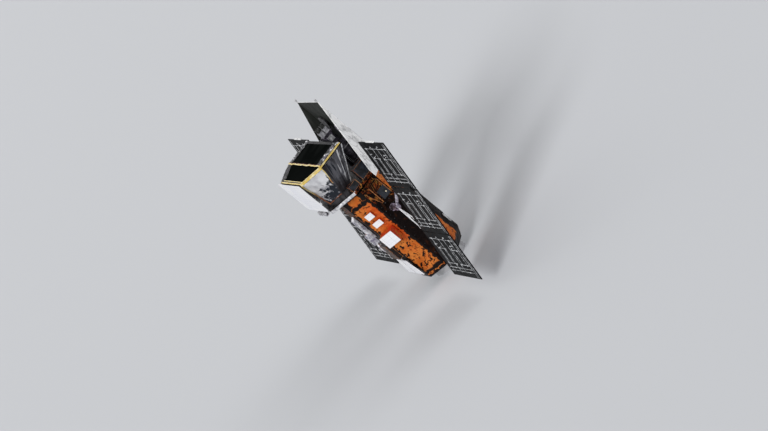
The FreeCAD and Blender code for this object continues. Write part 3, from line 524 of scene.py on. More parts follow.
class Paint:
    """A material under construction. Most methods add nodes and give back the socket with the result."""

    def __init__(self, name):
        self.material = bpy.data.materials.new(name)
        self.material.use_nodes = True
        self.tree = self.material.node_tree
        self.place = self.node("ShaderNodeTexCoord").outputs["Object"]

    def feed(self, node, sockets):
        """Gives each of these sockets its value or another node's result."""
        for key, value in dict(sockets).items():
            if isinstance(value, bpy.types.NodeSocket):
                self.tree.links.new(value, node.inputs[key])
            else:
                node.inputs[key].default_value = value

    def node(self, kind, sockets=(), **settings):
        made = self.tree.nodes.new(kind)
        for key, value in settings.items():
            setattr(made, key, value)
        self.feed(made, sockets)
        return made

    def math(self, operation, *parts):
        return self.node("ShaderNodeMath", enumerate(parts), operation=operation).outputs[0]

    def times(self, first, *others):
        for other in others:
            first = self.math("MULTIPLY", first, other)
        return first

    def most(self, first, *others):
        for other in others:
            first = self.math("MAXIMUM", first, other)
        return first

    def vector_math(self, operation, *parts):
        made = self.node("ShaderNodeVectorMath", enumerate(parts), operation=operation)
        return made.outputs["Value" if operation == "LENGTH" else "Vector"]

    def axes(self):
        return self.node("ShaderNodeSeparateXYZ", {0: self.place}).outputs

    def noise(self, scale, detail=3.0, stretch=(1.0, 1.0, 1.0), distortion=0.0, place=None):
        spot = self.node("ShaderNodeMapping", {"Vector": place or self.place, "Scale": stretch}).outputs[0]
        sockets = {"Vector": spot, "Scale": scale, "Detail": detail, "Distortion": distortion}
        return self.node("ShaderNodeTexNoise", sockets).outputs[0]

    def between(self, value, low, high):
        """0 below low and 1 above high, or the other way round where low is the larger."""
        ends = (low, high, 0.0, 1.0) if low <= high else (high, low, 1.0, 0.0)
        made = self.node("ShaderNodeMapRange", enumerate((value, *ends)), interpolation_type="SMOOTHSTEP")
        return made.outputs[0]

    def band(self, value, middle, outer, inner):
        """1 within the inner distance of the middle and 0 beyond the outer one."""
        return self.between(self.math("ABSOLUTE", self.math("SUBTRACT", value, middle)), outer, inner)

    def patches(self, scale, detail, low, high, stretch=(1.0, 1.0, 1.0), distortion=0.0, place=None):
        """1 in patches where a noise is above high, and 0 where it is below low."""
        return self.between(self.noise(scale, detail, stretch, distortion, place), low, high)

    def ragged(self, value, height, scale, detail, distortion=0.0):
        """A value that noise raises by up to this height, so that what follows it gets a torn edge."""
        return self.math("MULTIPLY_ADD", self.noise(scale, detail, distortion=distortion), height, value)

    def bent(self, scale, reach):
        """The place, pushed about by noise, so that a pattern on it loses its regularity."""
        made = self.node("ShaderNodeTexNoise", {"Vector": self.place, "Scale": scale})
        push = self.vector_math("MULTIPLY", made.outputs["Color"], (reach, reach, reach))
        return self.vector_math("ADD", self.place, push)

    def cells(self, scale, place, feature="F1"):
        made = self.node("ShaderNodeTexVoronoi", {"Vector": place, "Scale": scale}, feature=feature)
        return made.outputs["Distance"]

    def grooves(self, value, pitch, width):
        """1 in thin lines that come once every pitch, and 0 between them."""
        return self.between(self.math("PINGPONG", value, pitch / 2), width / 2, width / 2 * 0.4)

    def creases(self, coarse, fine):
        """Height of crumpled film, from creases of two sizes."""
        bent = self.bent(1.0 / coarse, coarse)
        large = self.cells(1.0 / coarse, bent)
        return self.math("MULTIPLY_ADD", self.cells(1.0 / fine, bent), fine / coarse, large)

    def dent(self, height, depth, strength=1.0, base=None):
        sockets = {"Strength": strength, "Distance": depth, "Height": height}
        if base:
            sockets["Normal"] = base
        return self.node("ShaderNodeBump", sockets).outputs[0]

    def crinkle(self, coarse, fine, depth, strength, base=None):
        """Dents of crumpled film."""
        return self.dent(self.creases(coarse, fine), depth, strength, base)

    def mix(self, share, first, second):
        sockets = {0: share, 6: tint(first), 7: tint(second)}
        return self.node("ShaderNodeMix", sockets, data_type="RGBA").outputs[2]

    def start(self, ground, share, second, most=1.0):
        """Lays the ground colour and a second one over it."""
        self.shade = ground
        self.coat(share, second, most)

    def coat(self, share, second, most=1.0):
        """Lays a colour over what is there, as far as the share and the most that it may cover say."""
        if most < 1.0:
            share = self.times(share, most)
        self.shade = self.mix(share, self.shade, second)

    def roughness(self, scale, low, high):
        """A roughness that noise moves in its range."""
        return self.math("MULTIPLY_ADD", self.noise(scale), high - low, low)

    def done(self, rough, metallic=0.0, dents=None, sheen=0.5, coat=0.0):
        """Feeds the shader. Rough is one value, or the scale and the range of a noise."""
        if isinstance(rough, tuple):
            rough = self.roughness(*rough)
        sockets = {"Base Color": self.shade, "Roughness": rough, "Metallic": metallic,
                   "Specular IOR Level": sheen, "Coat Weight": coat}
        if dents:
            sockets["Normal"] = dents
        self.feed(self.tree.nodes["Principled BSDF"], sockets)


# Painted shadows of crumples on the rear facets: across the facet and height of the middle, half width, half
# height, lean
REAR_CRUMPLE_SHADOWS = (
    (-0.12, 1.20, 0.035, 0.055, 20.0), (0.03, 1.10, 0.050, 0.026, -30.0), (-0.18, 0.97, 0.040, 0.045, 0.0),
    (0.10, 0.76, 0.070, 0.034, 35.0), (0.17, 0.66, 0.085, 0.017, 38.0), (0.12, 0.57, 0.095, 0.016, 36.0),
    (0.17, 0.49, 0.080, 0.015, 34.0), (-0.15, 0.60, 0.055, 0.032, 10.0), (-0.04, 0.52, 0.110, 0.013, 4.0),
    (0.20, 0.86, 0.030, 0.060, 20.0), (-0.20, 1.78, 0.028, 0.080, 0.0), (-0.02, 0.90, 0.016, 0.045, 60.0),
    (0.19, 1.26, 0.026, 0.050, 0.0), (-0.21, 2.12, 0.028, 0.070, 0.0), (-0.06, 2.33, 0.060, 0.015, 10.0),
    (0.12, 2.42, 0.050, 0.018, -20.0),
)


def rear_crumple_shadows(p, across, height):
    """The rear facets' painted crumple shadows as one mask."""
    plan = p.node("ShaderNodeCombineXYZ", enumerate((across, height))).outputs[0]
    crumple_shadows = []
    for middle, level, half_width, half_height, lean in REAR_CRUMPLE_SHADOWS:
        sockets = {"Vector": plan, "Location": (middle, level, 0.0), "Scale": (half_width, half_height, 1.0),
                   "Rotation": (0.0, 0.0, math.radians(lean))}
        crumple_shadow = p.node("ShaderNodeMapping", sockets, vector_type="TEXTURE").outputs[0]
        crumple_shadows.append(p.between(p.vector_math("LENGTH", crumple_shadow), 1.15, 0.85))
    return p.most(*crumple_shadows)


RECIPES = {}


def recipe(maker):
    """Keeps the function that makes a finish under its own name."""
    RECIPES[maker.__name__] = maker
    return maker


@recipe
def orange_foil(p):
    """Orange film with amber and red patches, ragged black edges, a painted red reflection by the boxes,
    painted shade under the bench and painted crumple shadows.
    """
    x, y, z = p.axes()
    # Distance from the middle of a slanted facet, towards the sun side, and height, both torn
    inwards = p.times(p.math("SIGN", x), p.math("ABSOLUTE", y))
    across = p.times(p.math("SUBTRACT", x, inwards), HALF_ROOT)
    across = p.ragged(p.math("SUBTRACT", across, 0.08), 0.16, 11.0, 4.0, 0.6)
    height = p.ragged(p.math("SUBTRACT", z, 0.10), 0.20, 8.0, 4.0, 0.4)
    aside = p.math("ABSOLUTE", across)
    rear = p.math("LESS_THAN", x, 0.0)
    p.start("film.orange", p.patches(3.0, 4.0, 0.40, 0.66), "film.amber")
    # Painted reflection: red-orange on the rear facets beside the radiator boxes, where their red sides would
    # reflect in the film
    red = p.times(p.between(across, 0.00, 0.05), p.between(height, 1.20, 1.36), rear,
                  p.between(height, 2.50, 2.42), 0.42)
    spots = p.times(p.patches(6.0, 4.0, 0.55, 0.68, (1.0, 1.0, 0.5)), 0.22)
    p.coat(p.most(red, spots), "film.ember")
    p.coat(p.patches(17.0, 3.0, 0.56, 0.68, distortion=0.5), "film.rust")
    # What is dark at the rear: edges, painted shade in the crease below the bench and in the top's corners,
    # and the painted crumple shadows
    corners = p.times(p.between(height, 2.58, 2.62), p.between(aside, 0.14, 0.17))
    dark = p.most(p.between(aside, 0.225, 0.245), p.band(height, 2.55, 0.055, 0.035), corners,
                  rear_crumple_shadows(p, across, height))
    # What is dark elsewhere: the foot, and the sun facets' outer half as painted shade
    sun_facet_shade = p.times(p.between(across, 0.01, 0.03), p.math("SUBTRACT", 1.0, rear))
    dark = p.most(p.times(rear, dark), p.between(height, 0.42, 0.38), sun_facet_shade)
    # A pale arc crosses the dark foot at the rear
    arc = p.times(rear, p.band(height, 0.285, 0.022, 0.012), 0.85)
    dark = p.times(dark, p.math("SUBTRACT", 1.0, arc))
    p.coat(p.most(dark, p.patches(15.0, 4.0, 0.60, 0.625, (1.0, 1.0, 0.7), 0.8)), "film.soot")
    p.done((9.0, 0.32, 0.55), 0.4, p.crinkle(0.11, 0.035, 0.020, 0.55), sheen=0.2)


@recipe
def dark_foil(p):
    """Dark film: black and brown folds with gold glints towards the top, and silver ones low at the rear."""
    x, _, height = p.axes()
    p.start("film.soot", p.patches(7.0, 5.0, 0.54, 0.70, (1.0, 1.0, 0.6), 0.8), "film.brown")
    # Thin curved ridges, which only shine on the upper part
    ridges = p.band(p.noise(6.0, 3.0, (1.0, 1.0, 0.6), 1.8), 0.5, 0.030, 0.010)
    high = p.between(p.ragged(height, 0.9, 3.0, 3.0), 2.66, 2.86)
    tone = p.mix(p.patches(9.0, 3.0, 0.44, 0.58), "film.rust", "film.gold")
    p.coat(p.times(ridges, high), tone, 0.8)
    p.coat(p.times(p.patches(12.0, 4.0, 0.57, 0.61, distortion=0.8), high), "film.rust", 0.6)
    rear = p.times(p.between(x, -0.56, -0.62), p.band(height, 1.32, 0.24, 0.10))
    p.coat(p.times(rear, p.patches(13.0, 3.0, 0.50, 0.56, (1.0, 1.0, 0.5))), "film.silver")
    p.done((9.0, 0.40, 0.62), 0.3, p.crinkle(0.12, 0.04, 0.022, 0.6), sheen=0.08)


@recipe
def ember_foil(p):
    """The radiator boxes' orange side film, painted red-orange as shade, with thin brown creases."""
    p.start("film.ember", p.patches(7.0, 4.0, 0.40, 0.62), "film.orange")
    lines = p.between(p.cells(16.0, p.bent(12.0, 0.06), "DISTANCE_TO_EDGE"), 0.06, 0.015)
    p.coat(lines, "film.brown", 0.35)
    p.done((12.0, 0.32, 0.5), 0.45, p.crinkle(0.07, 0.024, 0.012, 0.5))


@recipe
def silver_foil(p):
    """Crinkled silver film with painted highlights on its ridges and violet-grey folds."""
    folds = p.creases(0.085, 0.03)
    p.start("film.violet", p.patches(8.0, 4.0, 0.36, 0.64, (1.0, 1.0, 0.6), 0.5), "film.silver")
    # Painted highlight: the ridges of the creases are coloured bright silver
    p.coat(p.between(folds, 0.55, 0.95), "film.bright", 0.7)
    p.coat(p.patches(13.0, 3.0, 0.64, 0.74, distortion=0.8), "film.soot", 0.7)
    p.done((14.0, 0.3, 0.55), 0.5, p.dent(folds, 0.016, 0.55))


@recipe
def shield_bright(p):
    """Bright silver film that is stained blue-black and rust brown towards its foot."""
    x, y, z = p.axes()
    p.start("film.silver", p.patches(4.0, 4.0, 0.40, 0.62, (1.0, 1.0, 0.5)), "film.bright")
    p.coat(0.45, "film.bright")
    # The stain's upper edge climbs across the slanted facet
    across = p.math("MULTIPLY_ADD", p.math("ABSOLUTE", y), 0.689, p.times(x, 0.725))
    edge = p.math("MULTIPLY_ADD", across, -0.42, z)
    low = p.between(p.ragged(edge, 0.9, 6.0, 5.0, 0.9), 3.99, 3.90)
    p.coat(low, "mask.stain")
    p.coat(p.times(low, p.patches(9.0, 2.0, 0.54, 0.64)), "film.silver")
    p.coat(p.between(p.ragged(z, 0.12, 8.0, 3.0), 3.23, 3.20), "mask.rust")
    p.done((9.0, 0.28, 0.5), 0.5, p.crinkle(0.16, 0.05, 0.022, 0.45))


@recipe
def shield_grey(p):
    """Grey film in long streaks that fan out between the folds, pale towards the front, dark at the foot."""
    x, _, z = p.axes()
    fall = p.math("DIVIDE", p.math("SUBTRACT", SHIELD_TOP_Z, z), SHIELD_TOP_Z - SHIELD_FOOT_Z)
    knee, front = (p.math("MULTIPLY_ADD", fall, SHIELD_FOLDS[fold][0][0] - top_x, top_x)
                   for fold, top_x in (("knee", MASK_KNEE_X), ("front", MASK_FRONT_X)))
    share = p.math("DIVIDE", p.math("SUBTRACT", x, knee), p.math("SUBTRACT", front, knee))
    fan = p.node("ShaderNodeCombineXYZ", {0: share, 2: p.times(fall, 0.22)}).outputs[0]
    p.start(ink(40, 38, 42), p.patches(5.0, 4.0, 0.40, 0.62, distortion=0.3, place=fan), ink(100, 100, 106))
    pale = p.patches(11.0, 3.0, 0.54, 0.66, distortion=0.3, place=fan)
    p.coat(p.times(pale, p.between(share, 0.42, 0.66)), "film.bright", 0.85)
    p.coat(p.patches(8.0, 3.0, 0.58, 0.66, distortion=0.4, place=fan), "mask.stain")
    p.coat(p.between(p.ragged(z, 0.5, 7.0, 4.0), 3.74, 3.52), ink(30, 25, 27), 0.8)
    folds = p.dent(p.noise(9.0, 3.0, distortion=0.3, place=fan), 0.05, 0.35)
    p.done((9.0, 0.35, 0.55), 0.45, p.crinkle(0.14, 0.05, 0.014, 0.3, folds))


@recipe
def shield_dark(p):
    """Dull dark film on the faces of the shield and detector that look away from the light, darkened as
    painted shade.
    """
    p.start(ink(22, 21, 23), p.patches(6.0, 5.0, 0.40, 0.65, (1.0, 1.0, 0.5), 0.6), ink(62, 60, 63))
    p.done((9.0, 0.4, 0.6), 0.35, p.crinkle(0.12, 0.05, 0.020, 0.5))


@recipe
def silver_tape(p):
    """White wrap round the edge of the bench, in soft folds."""
    p.start("film.silver", p.patches(12.0, 4.0, 0.40, 0.62, distortion=0.4), "film.bright")
    p.done((14.0, 0.35, 0.55), 0.25, p.crinkle(0.06, 0.025, 0.012, 0.5))


@recipe
def mask_black(p):
    """Black film over the coded mask with a grey bloom and slack ripples."""
    upper = p.between(p.axes()[0], -0.52, -0.40)
    bloom = p.patches(3.0, 4.0, 0.40, 0.68, (0.6, 1.0, 1.0))
    p.start("mask.black", p.times(bloom, p.math("MULTIPLY_ADD", upper, 0.75, 0.2)), "mask.slate")
    p.done((6.0, 0.6, 0.75), 0.0, p.dent(p.noise(3.5, 3.0, (1.0, 0.5, 1.0), 0.5), 0.02, 0.35), sheen=0.0)


@recipe
def mask_border(p):
    """Crinkled border film of the mask, grey and violet, with painted glints on ridges across it."""
    y = p.axes()[1]
    p.start("mask.black", p.patches(9.0, 4.0, 0.47, 0.60, (1.6, 0.8, 1.0), 1.2), "film.silver")
    p.coat(p.patches(5.0, 2.0, 0.44, 0.56), "film.violet", 0.45)
    # Painted glints: pale folds lie across the strip on the near side
    bars = p.noise(34.0, 2.0, (1.0, 0.14, 1.0), 0.3)
    p.coat(p.times(p.between(bars, 0.54, 0.60), p.between(y, -0.70, -0.80)), "film.bright")
    p.coat(p.patches(7.0, 3.0, 0.56, 0.47, (1.0, 0.6, 1.0), 0.5), "mask.black", 0.9)
    # The far side is darker and has the painted glints only along its outer edge
    p.coat(p.between(y, 0.0, 0.3), "mask.black", 0.55)
    p.coat(p.times(p.between(bars, 0.52, 0.57), p.between(y, 1.07, 1.11)), "film.bright", 0.8)
    p.done((14.0, 0.4, 0.6), 0.2, p.crinkle(0.10, 0.035, 0.018, 0.6), sheen=0.1)


@recipe
def frame_film(p):
    """Dark film on the mask's frame, with painted glints on the folds across its far side."""
    p.start(ink(14, 14, 15), p.patches(12.9, 4.0, 0.38, 0.64, distortion=0.5), ink(44, 43, 46))
    # Painted glints on the folds across the far side
    bars = p.patches(30.0, 2.0, 0.52, 0.57, (1.0, 0.2, 1.0), 0.3)
    p.coat(p.times(bars, p.between(p.axes()[1], 0.95, 1.05)), "film.silver")
    p.done((14.0, 0.35, 0.55), 0.0, p.crinkle(0.07, 0.023, 0.011, 0.45), sheen=0.08)


@recipe
def yellow_tape(p):
    """Yellow tape that has faded to cream in places and aged to rust low on the shield."""
    p.start("mask.yellow", p.patches(7.0, 4.0, 0.40, 0.62), "mask.cream")
    p.coat(p.between(p.ragged(p.axes()[2], 0.6, 6.0, 4.0), 4.02, 3.72), "mask.rust")
    p.done((10.0, 0.38, 0.55), 0.1, p.dent(p.noise(40.0), 0.004, 0.5))


@recipe
def painted_shadow_line(p):
    """Thin dark red line beside the knee tape, a painted shadow."""
    p.start(ink(52, 14, 8), p.patches(9.0, 3.0, 0.4, 0.6), ink(104, 40, 18))
    p.done(0.6, 0.0, p.dent(p.noise(40.0), 0.003, 0.5))


@recipe
def radiator_white(p):
    """White radiator tiles with fine joints, seen square on from any side."""
    x, y, z = p.axes()
    along = p.math("SUBTRACT", p.math("ABSOLUTE", y), p.times(x, 0.35))
    joints = p.most(p.grooves(along, 0.080, 0.004), p.grooves(z, 0.080, 0.004))
    p.start("fittings.white", p.patches(2.5, 3.0, 0.35, 0.65), ink(229, 230, 236))
    p.coat(joints, "fittings.seam", 0.5)
    p.done((20.0, 0.32, 0.42), 0.0, p.dent(joints, -0.001, 0.4))


@recipe
def shade_white(p):
    """Outer skin of the sunshade: white film in soft creases, with painted grey shade in its wrinkles."""
    # Painted shade: grey patches and thin grey lines stand for the wrinkles' shade
    grey = p.patches(7.0, 4.0, 0.46, 0.62, (1.0, 1.0, 0.6), 0.6)
    p.start("fittings.shade_white", grey, ink(150, 150, 152), 0.46)
    p.coat(p.band(p.noise(5.0, 3.0, (1.0, 1.0, 0.5), 1.2), 0.5, 0.02, 0.004), ink(112, 112, 114), 0.6)
    p.done((9.0, 0.4, 0.6), 0.0, p.crinkle(0.16, 0.05, 0.018, 0.4))


@recipe
def shade_dark(p):
    """Inner skin of the sunshade: dull dark grey with faint streaks."""
    p.start("fittings.shade_dark", p.patches(5.0, 4.0, 0.45, 0.70, (1.0, 1.0, 0.25)), ink(44, 46, 43))
    p.done((9.0, 0.5, 0.7), 0.0, p.crinkle(0.2, 0.06, 0.012, 0.3), sheen=0.1)


@recipe
def panel_back(p):
    """Dark woven skin of the wing panels' backs."""
    p.start("wings.back", p.patches(4.0, 4.0, 0.38, 0.64), ink(30, 31, 32))
    p.coat(p.patches(30.0, 2.0, 0.60, 0.72, (1.0, 0.3, 1.0)), ink(9, 10, 11))
    p.done((12.0, 0.5, 0.66), 0.0, p.dent(p.noise(160.0, 1.0), 0.002, 0.35), sheen=0.04)


@recipe
def panel_wire(p):
    """Pale flat cables, duller where the wires in them part."""
    p.start(ink(122, 123, 126), p.patches(13.0, 3.0, 0.40, 0.60), "wings.wire")
    p.done((20.0, 0.35, 0.5), 0.15, p.dent(p.noise(60.0, 2.0), 0.002, 0.4))


@recipe
def cell_glass(p):
    """Dark blue solar cells under glass, with fine silver fingers."""
    fingers = p.grooves(p.axes()[1], 0.0105, 0.0012)
    p.start("wings.cell", p.patches(2.5, 3.0, 0.35, 0.65), ink(28, 34, 82))
    p.coat(fingers, ink(150, 152, 160), 0.5)
    p.done((9.0, 0.12, 0.22), 0.0, p.dent(fingers, 0.0004, 0.3), coat=0.5)


@recipe
def tracker_grey(p):
    """Light grey star trackers whose hoods, above the boxes, are black."""
    p.start("fittings.tracker", p.patches(16.0, 4.0, 0.36, 0.62), ink(120, 120, 126))
    black = p.mix(p.patches(20.0, 3.0, 0.42, 0.58), ink(24, 25, 24), ink(66, 68, 66))
    p.coat(p.between(p.axes()[2], HOOD_Z - 0.002, HOOD_Z + 0.002), black)
    p.done((20.0, 0.35, 0.5), 0.0, p.crinkle(0.05, 0.02, 0.008, 0.4))


# Plain crinkled films between two colours: size of the creases and how metallic they are
FILMS = {
    "box_dark": (ink(15, 17, 21), ink(38, 42, 50), 0.09, 0.3),
    "power_brown": (ink(14, 9, 8), ink(40, 22, 14), 0.09, 0.3),
    "box_edge": (ink(132, 62, 28), ink(196, 140, 92), 0.05, 0.0),
    "orange_tape": (ink(104, 54, 24), ink(184, 118, 58), 0.05, 0.0),
    "pale_tape": (ink(150, 150, 154), ink(226, 226, 228), 0.05, 0.1),
    "tube_grey": (ink(58, 54, 64), ink(124, 120, 132), 0.10, 0.3),
    "cover_black": (ink(14, 14, 15), ink(84, 84, 86), 0.07, 0.3),
    "tail_silver": (ink(54, 52, 58), ink(190, 189, 194), 0.06, 0.1),
    "cover_silver": (ink(36, 33, 42), ink(168, 162, 176), 0.06, 0.3),
    "bracket_film": (ink(40, 38, 46), ink(112, 106, 120), 0.07, 0.1),
    "unit_grey": (ink(132, 132, 136), ink(206, 206, 208), 0.05, 0.0),
    "drive_wrap": (ink(92, 84, 104), ink(206, 202, 214), 0.07, 0.35),
    "hub_wrap": (ink(44, 32, 38), ink(150, 136, 154), 0.07, 0.35),
}
# Machined or painted surfaces between two colours: how metallic and how rough they are
SURFACES = {
    # The lens's pale colour is a painted glint
    "lens_glint": (ink(150, 128, 92), ink(222, 210, 184), 0.0, 0.2),
    "bare_metal": (ink(172, 172, 174), ink(194, 194, 196), 0.75, 0.38),
    "yoke_tube": (ink(196, 196, 198), ink(232, 232, 234), 0.25, 0.38),
    "post_grey": (ink(150, 150, 152), ink(206, 206, 208), 0.1, 0.38),
    "bore_black": (ink(10, 10, 11), ink(26, 26, 28), 0.0, 0.7),
    "mirror_gold": (ink(150, 116, 60), ink(206, 172, 108), 0.85, 0.2),
}


def plain_film(p, dark, light, coarse, metallic):
    p.start(dark, p.patches(0.9 / coarse, 4.0, 0.38, 0.64, distortion=0.5), light)
    p.done((14.0, 0.35, 0.55), metallic, p.crinkle(coarse, coarse / 3, coarse * 0.16, 0.45))


def brushed(p, dark, light, metallic, roughness):
    """Fine scratches and small wear."""
    p.start(dark, p.patches(8.0, 4.0, 0.36, 0.64), light)
    rough = p.roughness(18.0, roughness - 0.08, roughness + 0.08)
    rough = p.math("MULTIPLY_ADD", p.patches(24.0, 4.0, 0.60, 0.70), 0.18, rough)
    p.done(rough, metallic, p.dent(p.noise(90.0, 2.0, (1.0, 1.0, 0.12)), 0.0015, 0.4))


def paint(name):
    """The finish of that name, made on its first use."""
    label = "finish_" + name
    if label not in bpy.data.materials:
        p = Paint(label)
        if name in FILMS:
            plain_film(p, *FILMS[name])
        elif name in SURFACES:
            brushed(p, *SURFACES[name])
        else:
            RECIPES[name](p)
    return bpy.data.materials[label]


# Pieces of the bus: how far its flat sides are from the axis, half a side's width, and how squarely a face
# looks to one side when it belongs to it
BUS_HALF = 0.661
FACET_HALF = 0.274
DARK_SHARE = 0.86
REAR_FACETS = (("left", (-1.0, 1.0, 0.0)), ("right", (-1.0, -1.0, 0.0)))
# Gold seams on the sides that carry the wings: X and Z of the start and of the end, and width
SIDE_SEAMS = (("upper", (-0.080, 2.240), (-0.075, 2.690), 0.018),
              ("slanted", (-0.240, 2.690), (-0.115, 2.240), 0.012),
              ("window", (0.210, 2.240), (0.205, 2.700), 0.012))
# Radiator boxes on the rear facets: node, white face's width, height and middle, and how proud it stands
BOX_FACES = (
    ("small_radiator_boxes", 0.200, 0.150, 2.245, 0.060),
    ("medium_radiator_boxes", 0.240, 0.140, 2.000, 0.060),
    ("large_radiator_boxes", 0.368, 0.320, 1.600, 0.235),
)
# Blankets over small pieces: side of their squares
FINE_STEP = 0.008


def bus_finish(centre, normal):
    """Orange on the slanted facets and the sun side, dark on the sides that carry the wings and the rear."""
    side = Vector((normal.x, normal.y, 0.0))
    if side.length < 0.5:
        return 0
    side.normalize()
    carries_wing = abs(side.y) > DARK_SHARE
    if not carries_wing and side.x >= -DARK_SHARE:
        return 0
    # The film of the slanted facets laps a little over the corners
    reach = abs(centre.x if carries_wing else centre.y)
    return 1 if reach < FACET_HALF - 0.02 else 0


class SATELLITE_OT_bus(Operator):
    """Wraps the bus in orange and dark film and finishes its deck, neck and launch ring"""

    bl_idname = "satellite.bus"
    bl_label = "Bus film"

    def execute(self, context):
        film = values("film")
        wrap("bus_body", "bus_film", (film.skin_step, film.fold_height, film.fold_size), "orange_foil",
             "orange_foil", "dark_foil", choose=bus_finish)
        finish_nodes(bottom_deck="orange_foil", bench_neck="dark_foil", launch_ring="bare_metal")
        return {"FINISHED"}


class SATELLITE_OT_side_faces(Operator):
    """Sets a dark window, a lens, buttons and gold seams on each face that carries a wing"""

    bl_idname = "satellite.side_faces"
    bl_label = "Side faces"

    def execute(self, context):
        for side, sign in SIDES:
            face = upright_surface((0.0, sign, 0.0), BUS_HALF + 0.006)
            dress(plate(0.220, 0.250, 0.012, 0.014, 0.002), "side_window_" + side, "box_dark",
                  place=move((0.090, 0.0, 2.375)) @ face)
            # The lens's pale colour is a painted glint on it
            dress(disc(0.017, 0.014), "side_lens_" + side, "bare_metal", "lens_glint",
                  place=move((0.130, sign * 0.008, 2.350)) @ face)
            # Buttons hold the dark film in two columns
            columns = [move((x, 0.0, z)) @ face for x in (-0.215, 0.215)
                       for z in (0.62, 0.92, 1.22, 1.52, 1.82)]
            dress(set_of(disc(0.011, 0.006, 20, 0.001), columns), "side_buttons_" + side, "box_dark")
            wall = sign * (BUS_HALF + 0.004)
            for name, (x0, z0), (x1, z1), width in SIDE_SEAMS:
                tape(f"side_seam_{name}_{side}", "orange_foil", "orange_tape", (x0, wall, z0), (x1, wall, z1),
                     (0.0, sign, 0.0), width, thick=0.003, wave=0.020, lift=0.003)
        return {"FINISHED"}


def box_finish(centre, normal):
    """Red-orange painted shade, but silver on the far side's wall that looks to the rear and just round its
    corner.
    """
    to_rear = -(normal.x + normal.y) * HALF_ROOT
    by_rear = -(centre.x + centre.y) * HALF_ROOT
    return 1 if centre.y > 0.0 and (to_rear > 0.3 or by_rear > 0.11) else 0


class SATELLITE_OT_radiator_boxes(Operator):
    """Wraps the radiator boxes in orange film painted red-orange as shade and sets a white plate on each
    outer face
    """

    bl_idname = "satellite.radiator_boxes"
    bl_label = "Radiator boxes"

    def execute(self, context):
        for node, width, height, middle, proud in BOX_FACES:
            name = node.replace("_boxes", "")
            wrap(node, name + "_film", (FINE_STEP, 0.005, 0.06), "orange_foil", "ember_foil", "silver_foil",
                 choose=box_finish)
            for side, normal in REAR_FACETS:
                dress(plate(width, height, 0.006, 0.008, 0.0015), f"{name}_plate_{side}", "radiator_white",
                      place=upright_surface(normal, BUS_HALF + proud + 0.001, middle))
        return {"FINISHED"}


class SATELLITE_OT_rear(Operator):
    """Finishes the duct, power box, lower radiator, their tapes and the conduit, and the bench's tail box"""

    bl_idname = "satellite.rear"
    bl_label = "Rear face"

    def execute(self, context):
        wrap("rear_duct", "rear_duct_film", (FINE_STEP, 0.010, 0.09), "silver_foil")
        wrap("tail_bench_box", "tail_box_film", (FINE_STEP, 0.012, 0.08), "silver_foil", "tail_silver")
        finish_nodes(power_box="power_brown", lower_radiator="radiator_white")
        box_trim("power_box", "power_box_tape", 0.016, "orange_tape")
        for node, share, width, wave, slot, finish in (
                ("lower_radiator", 0.0, 0.036, 0.0, "radiator_white", "pale_tape"),
                ("power_box", 0.35, 0.018, 0.01, "box_dark", "orange_tape")):
            low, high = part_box(node)
            across = low.y * share
            tape(node + "_seam", slot, finish, (low.x, across, low.z), (low.x, across, high.z),
                 (-1.0, 0.0, 0.0), width, wave=wave, lift=0.0003)
        pipe = conduit(((-0.690, 0.500, 1.445), (-0.720, 0.455, 1.350), (-0.735, 0.340, 1.250),
                        (-0.715, 0.195, 1.180)), 0.030)
        dress(pipe, "rear_conduit", "silver_foil")
        return {"FINISHED"}


def bench_finish(centre, normal):
    """White round the rear, dark on the long sides, and dark as painted shade on the top and bottom."""
    if abs(normal.z) > 0.75:
        return 1
    return 0 if centre.x < -0.33 and abs(normal.y) < 0.94 else 2


class SATELLITE_OT_bench(Operator):
    """Wraps the bench's edge in white and finishes the boxes that stand on it"""

    bl_idname = "satellite.bench"
    bl_label = "Bench"

    def execute(self, context):
        wrap("optical_bench", "bench_film", (0.015, 0.012, 0.10), "silver_tape", "silver_tape", "shield_dark",
             "dark_foil", choose=bench_finish)
        finish_nodes(tall_bench_box="box_dark", low_bench_box="box_dark", detector_box="shield_dark",
                     sun_antenna="post_grey")
        for size in ("tall", "low"):
            box_trim(size + "_bench_box", size + "_box_tape", 0.014, "box_edge")
        return {"FINISHED"}


def shield_finish(centre, normal):
    """Grey on the long sides, bright on the slanted facets, and dark as painted shade on the front and the
    back.
    """
    aside = abs(normal.y)
    if aside > 0.8:
        return 0
    return 1 if aside > 0.35 and normal.x < 0.0 else 2


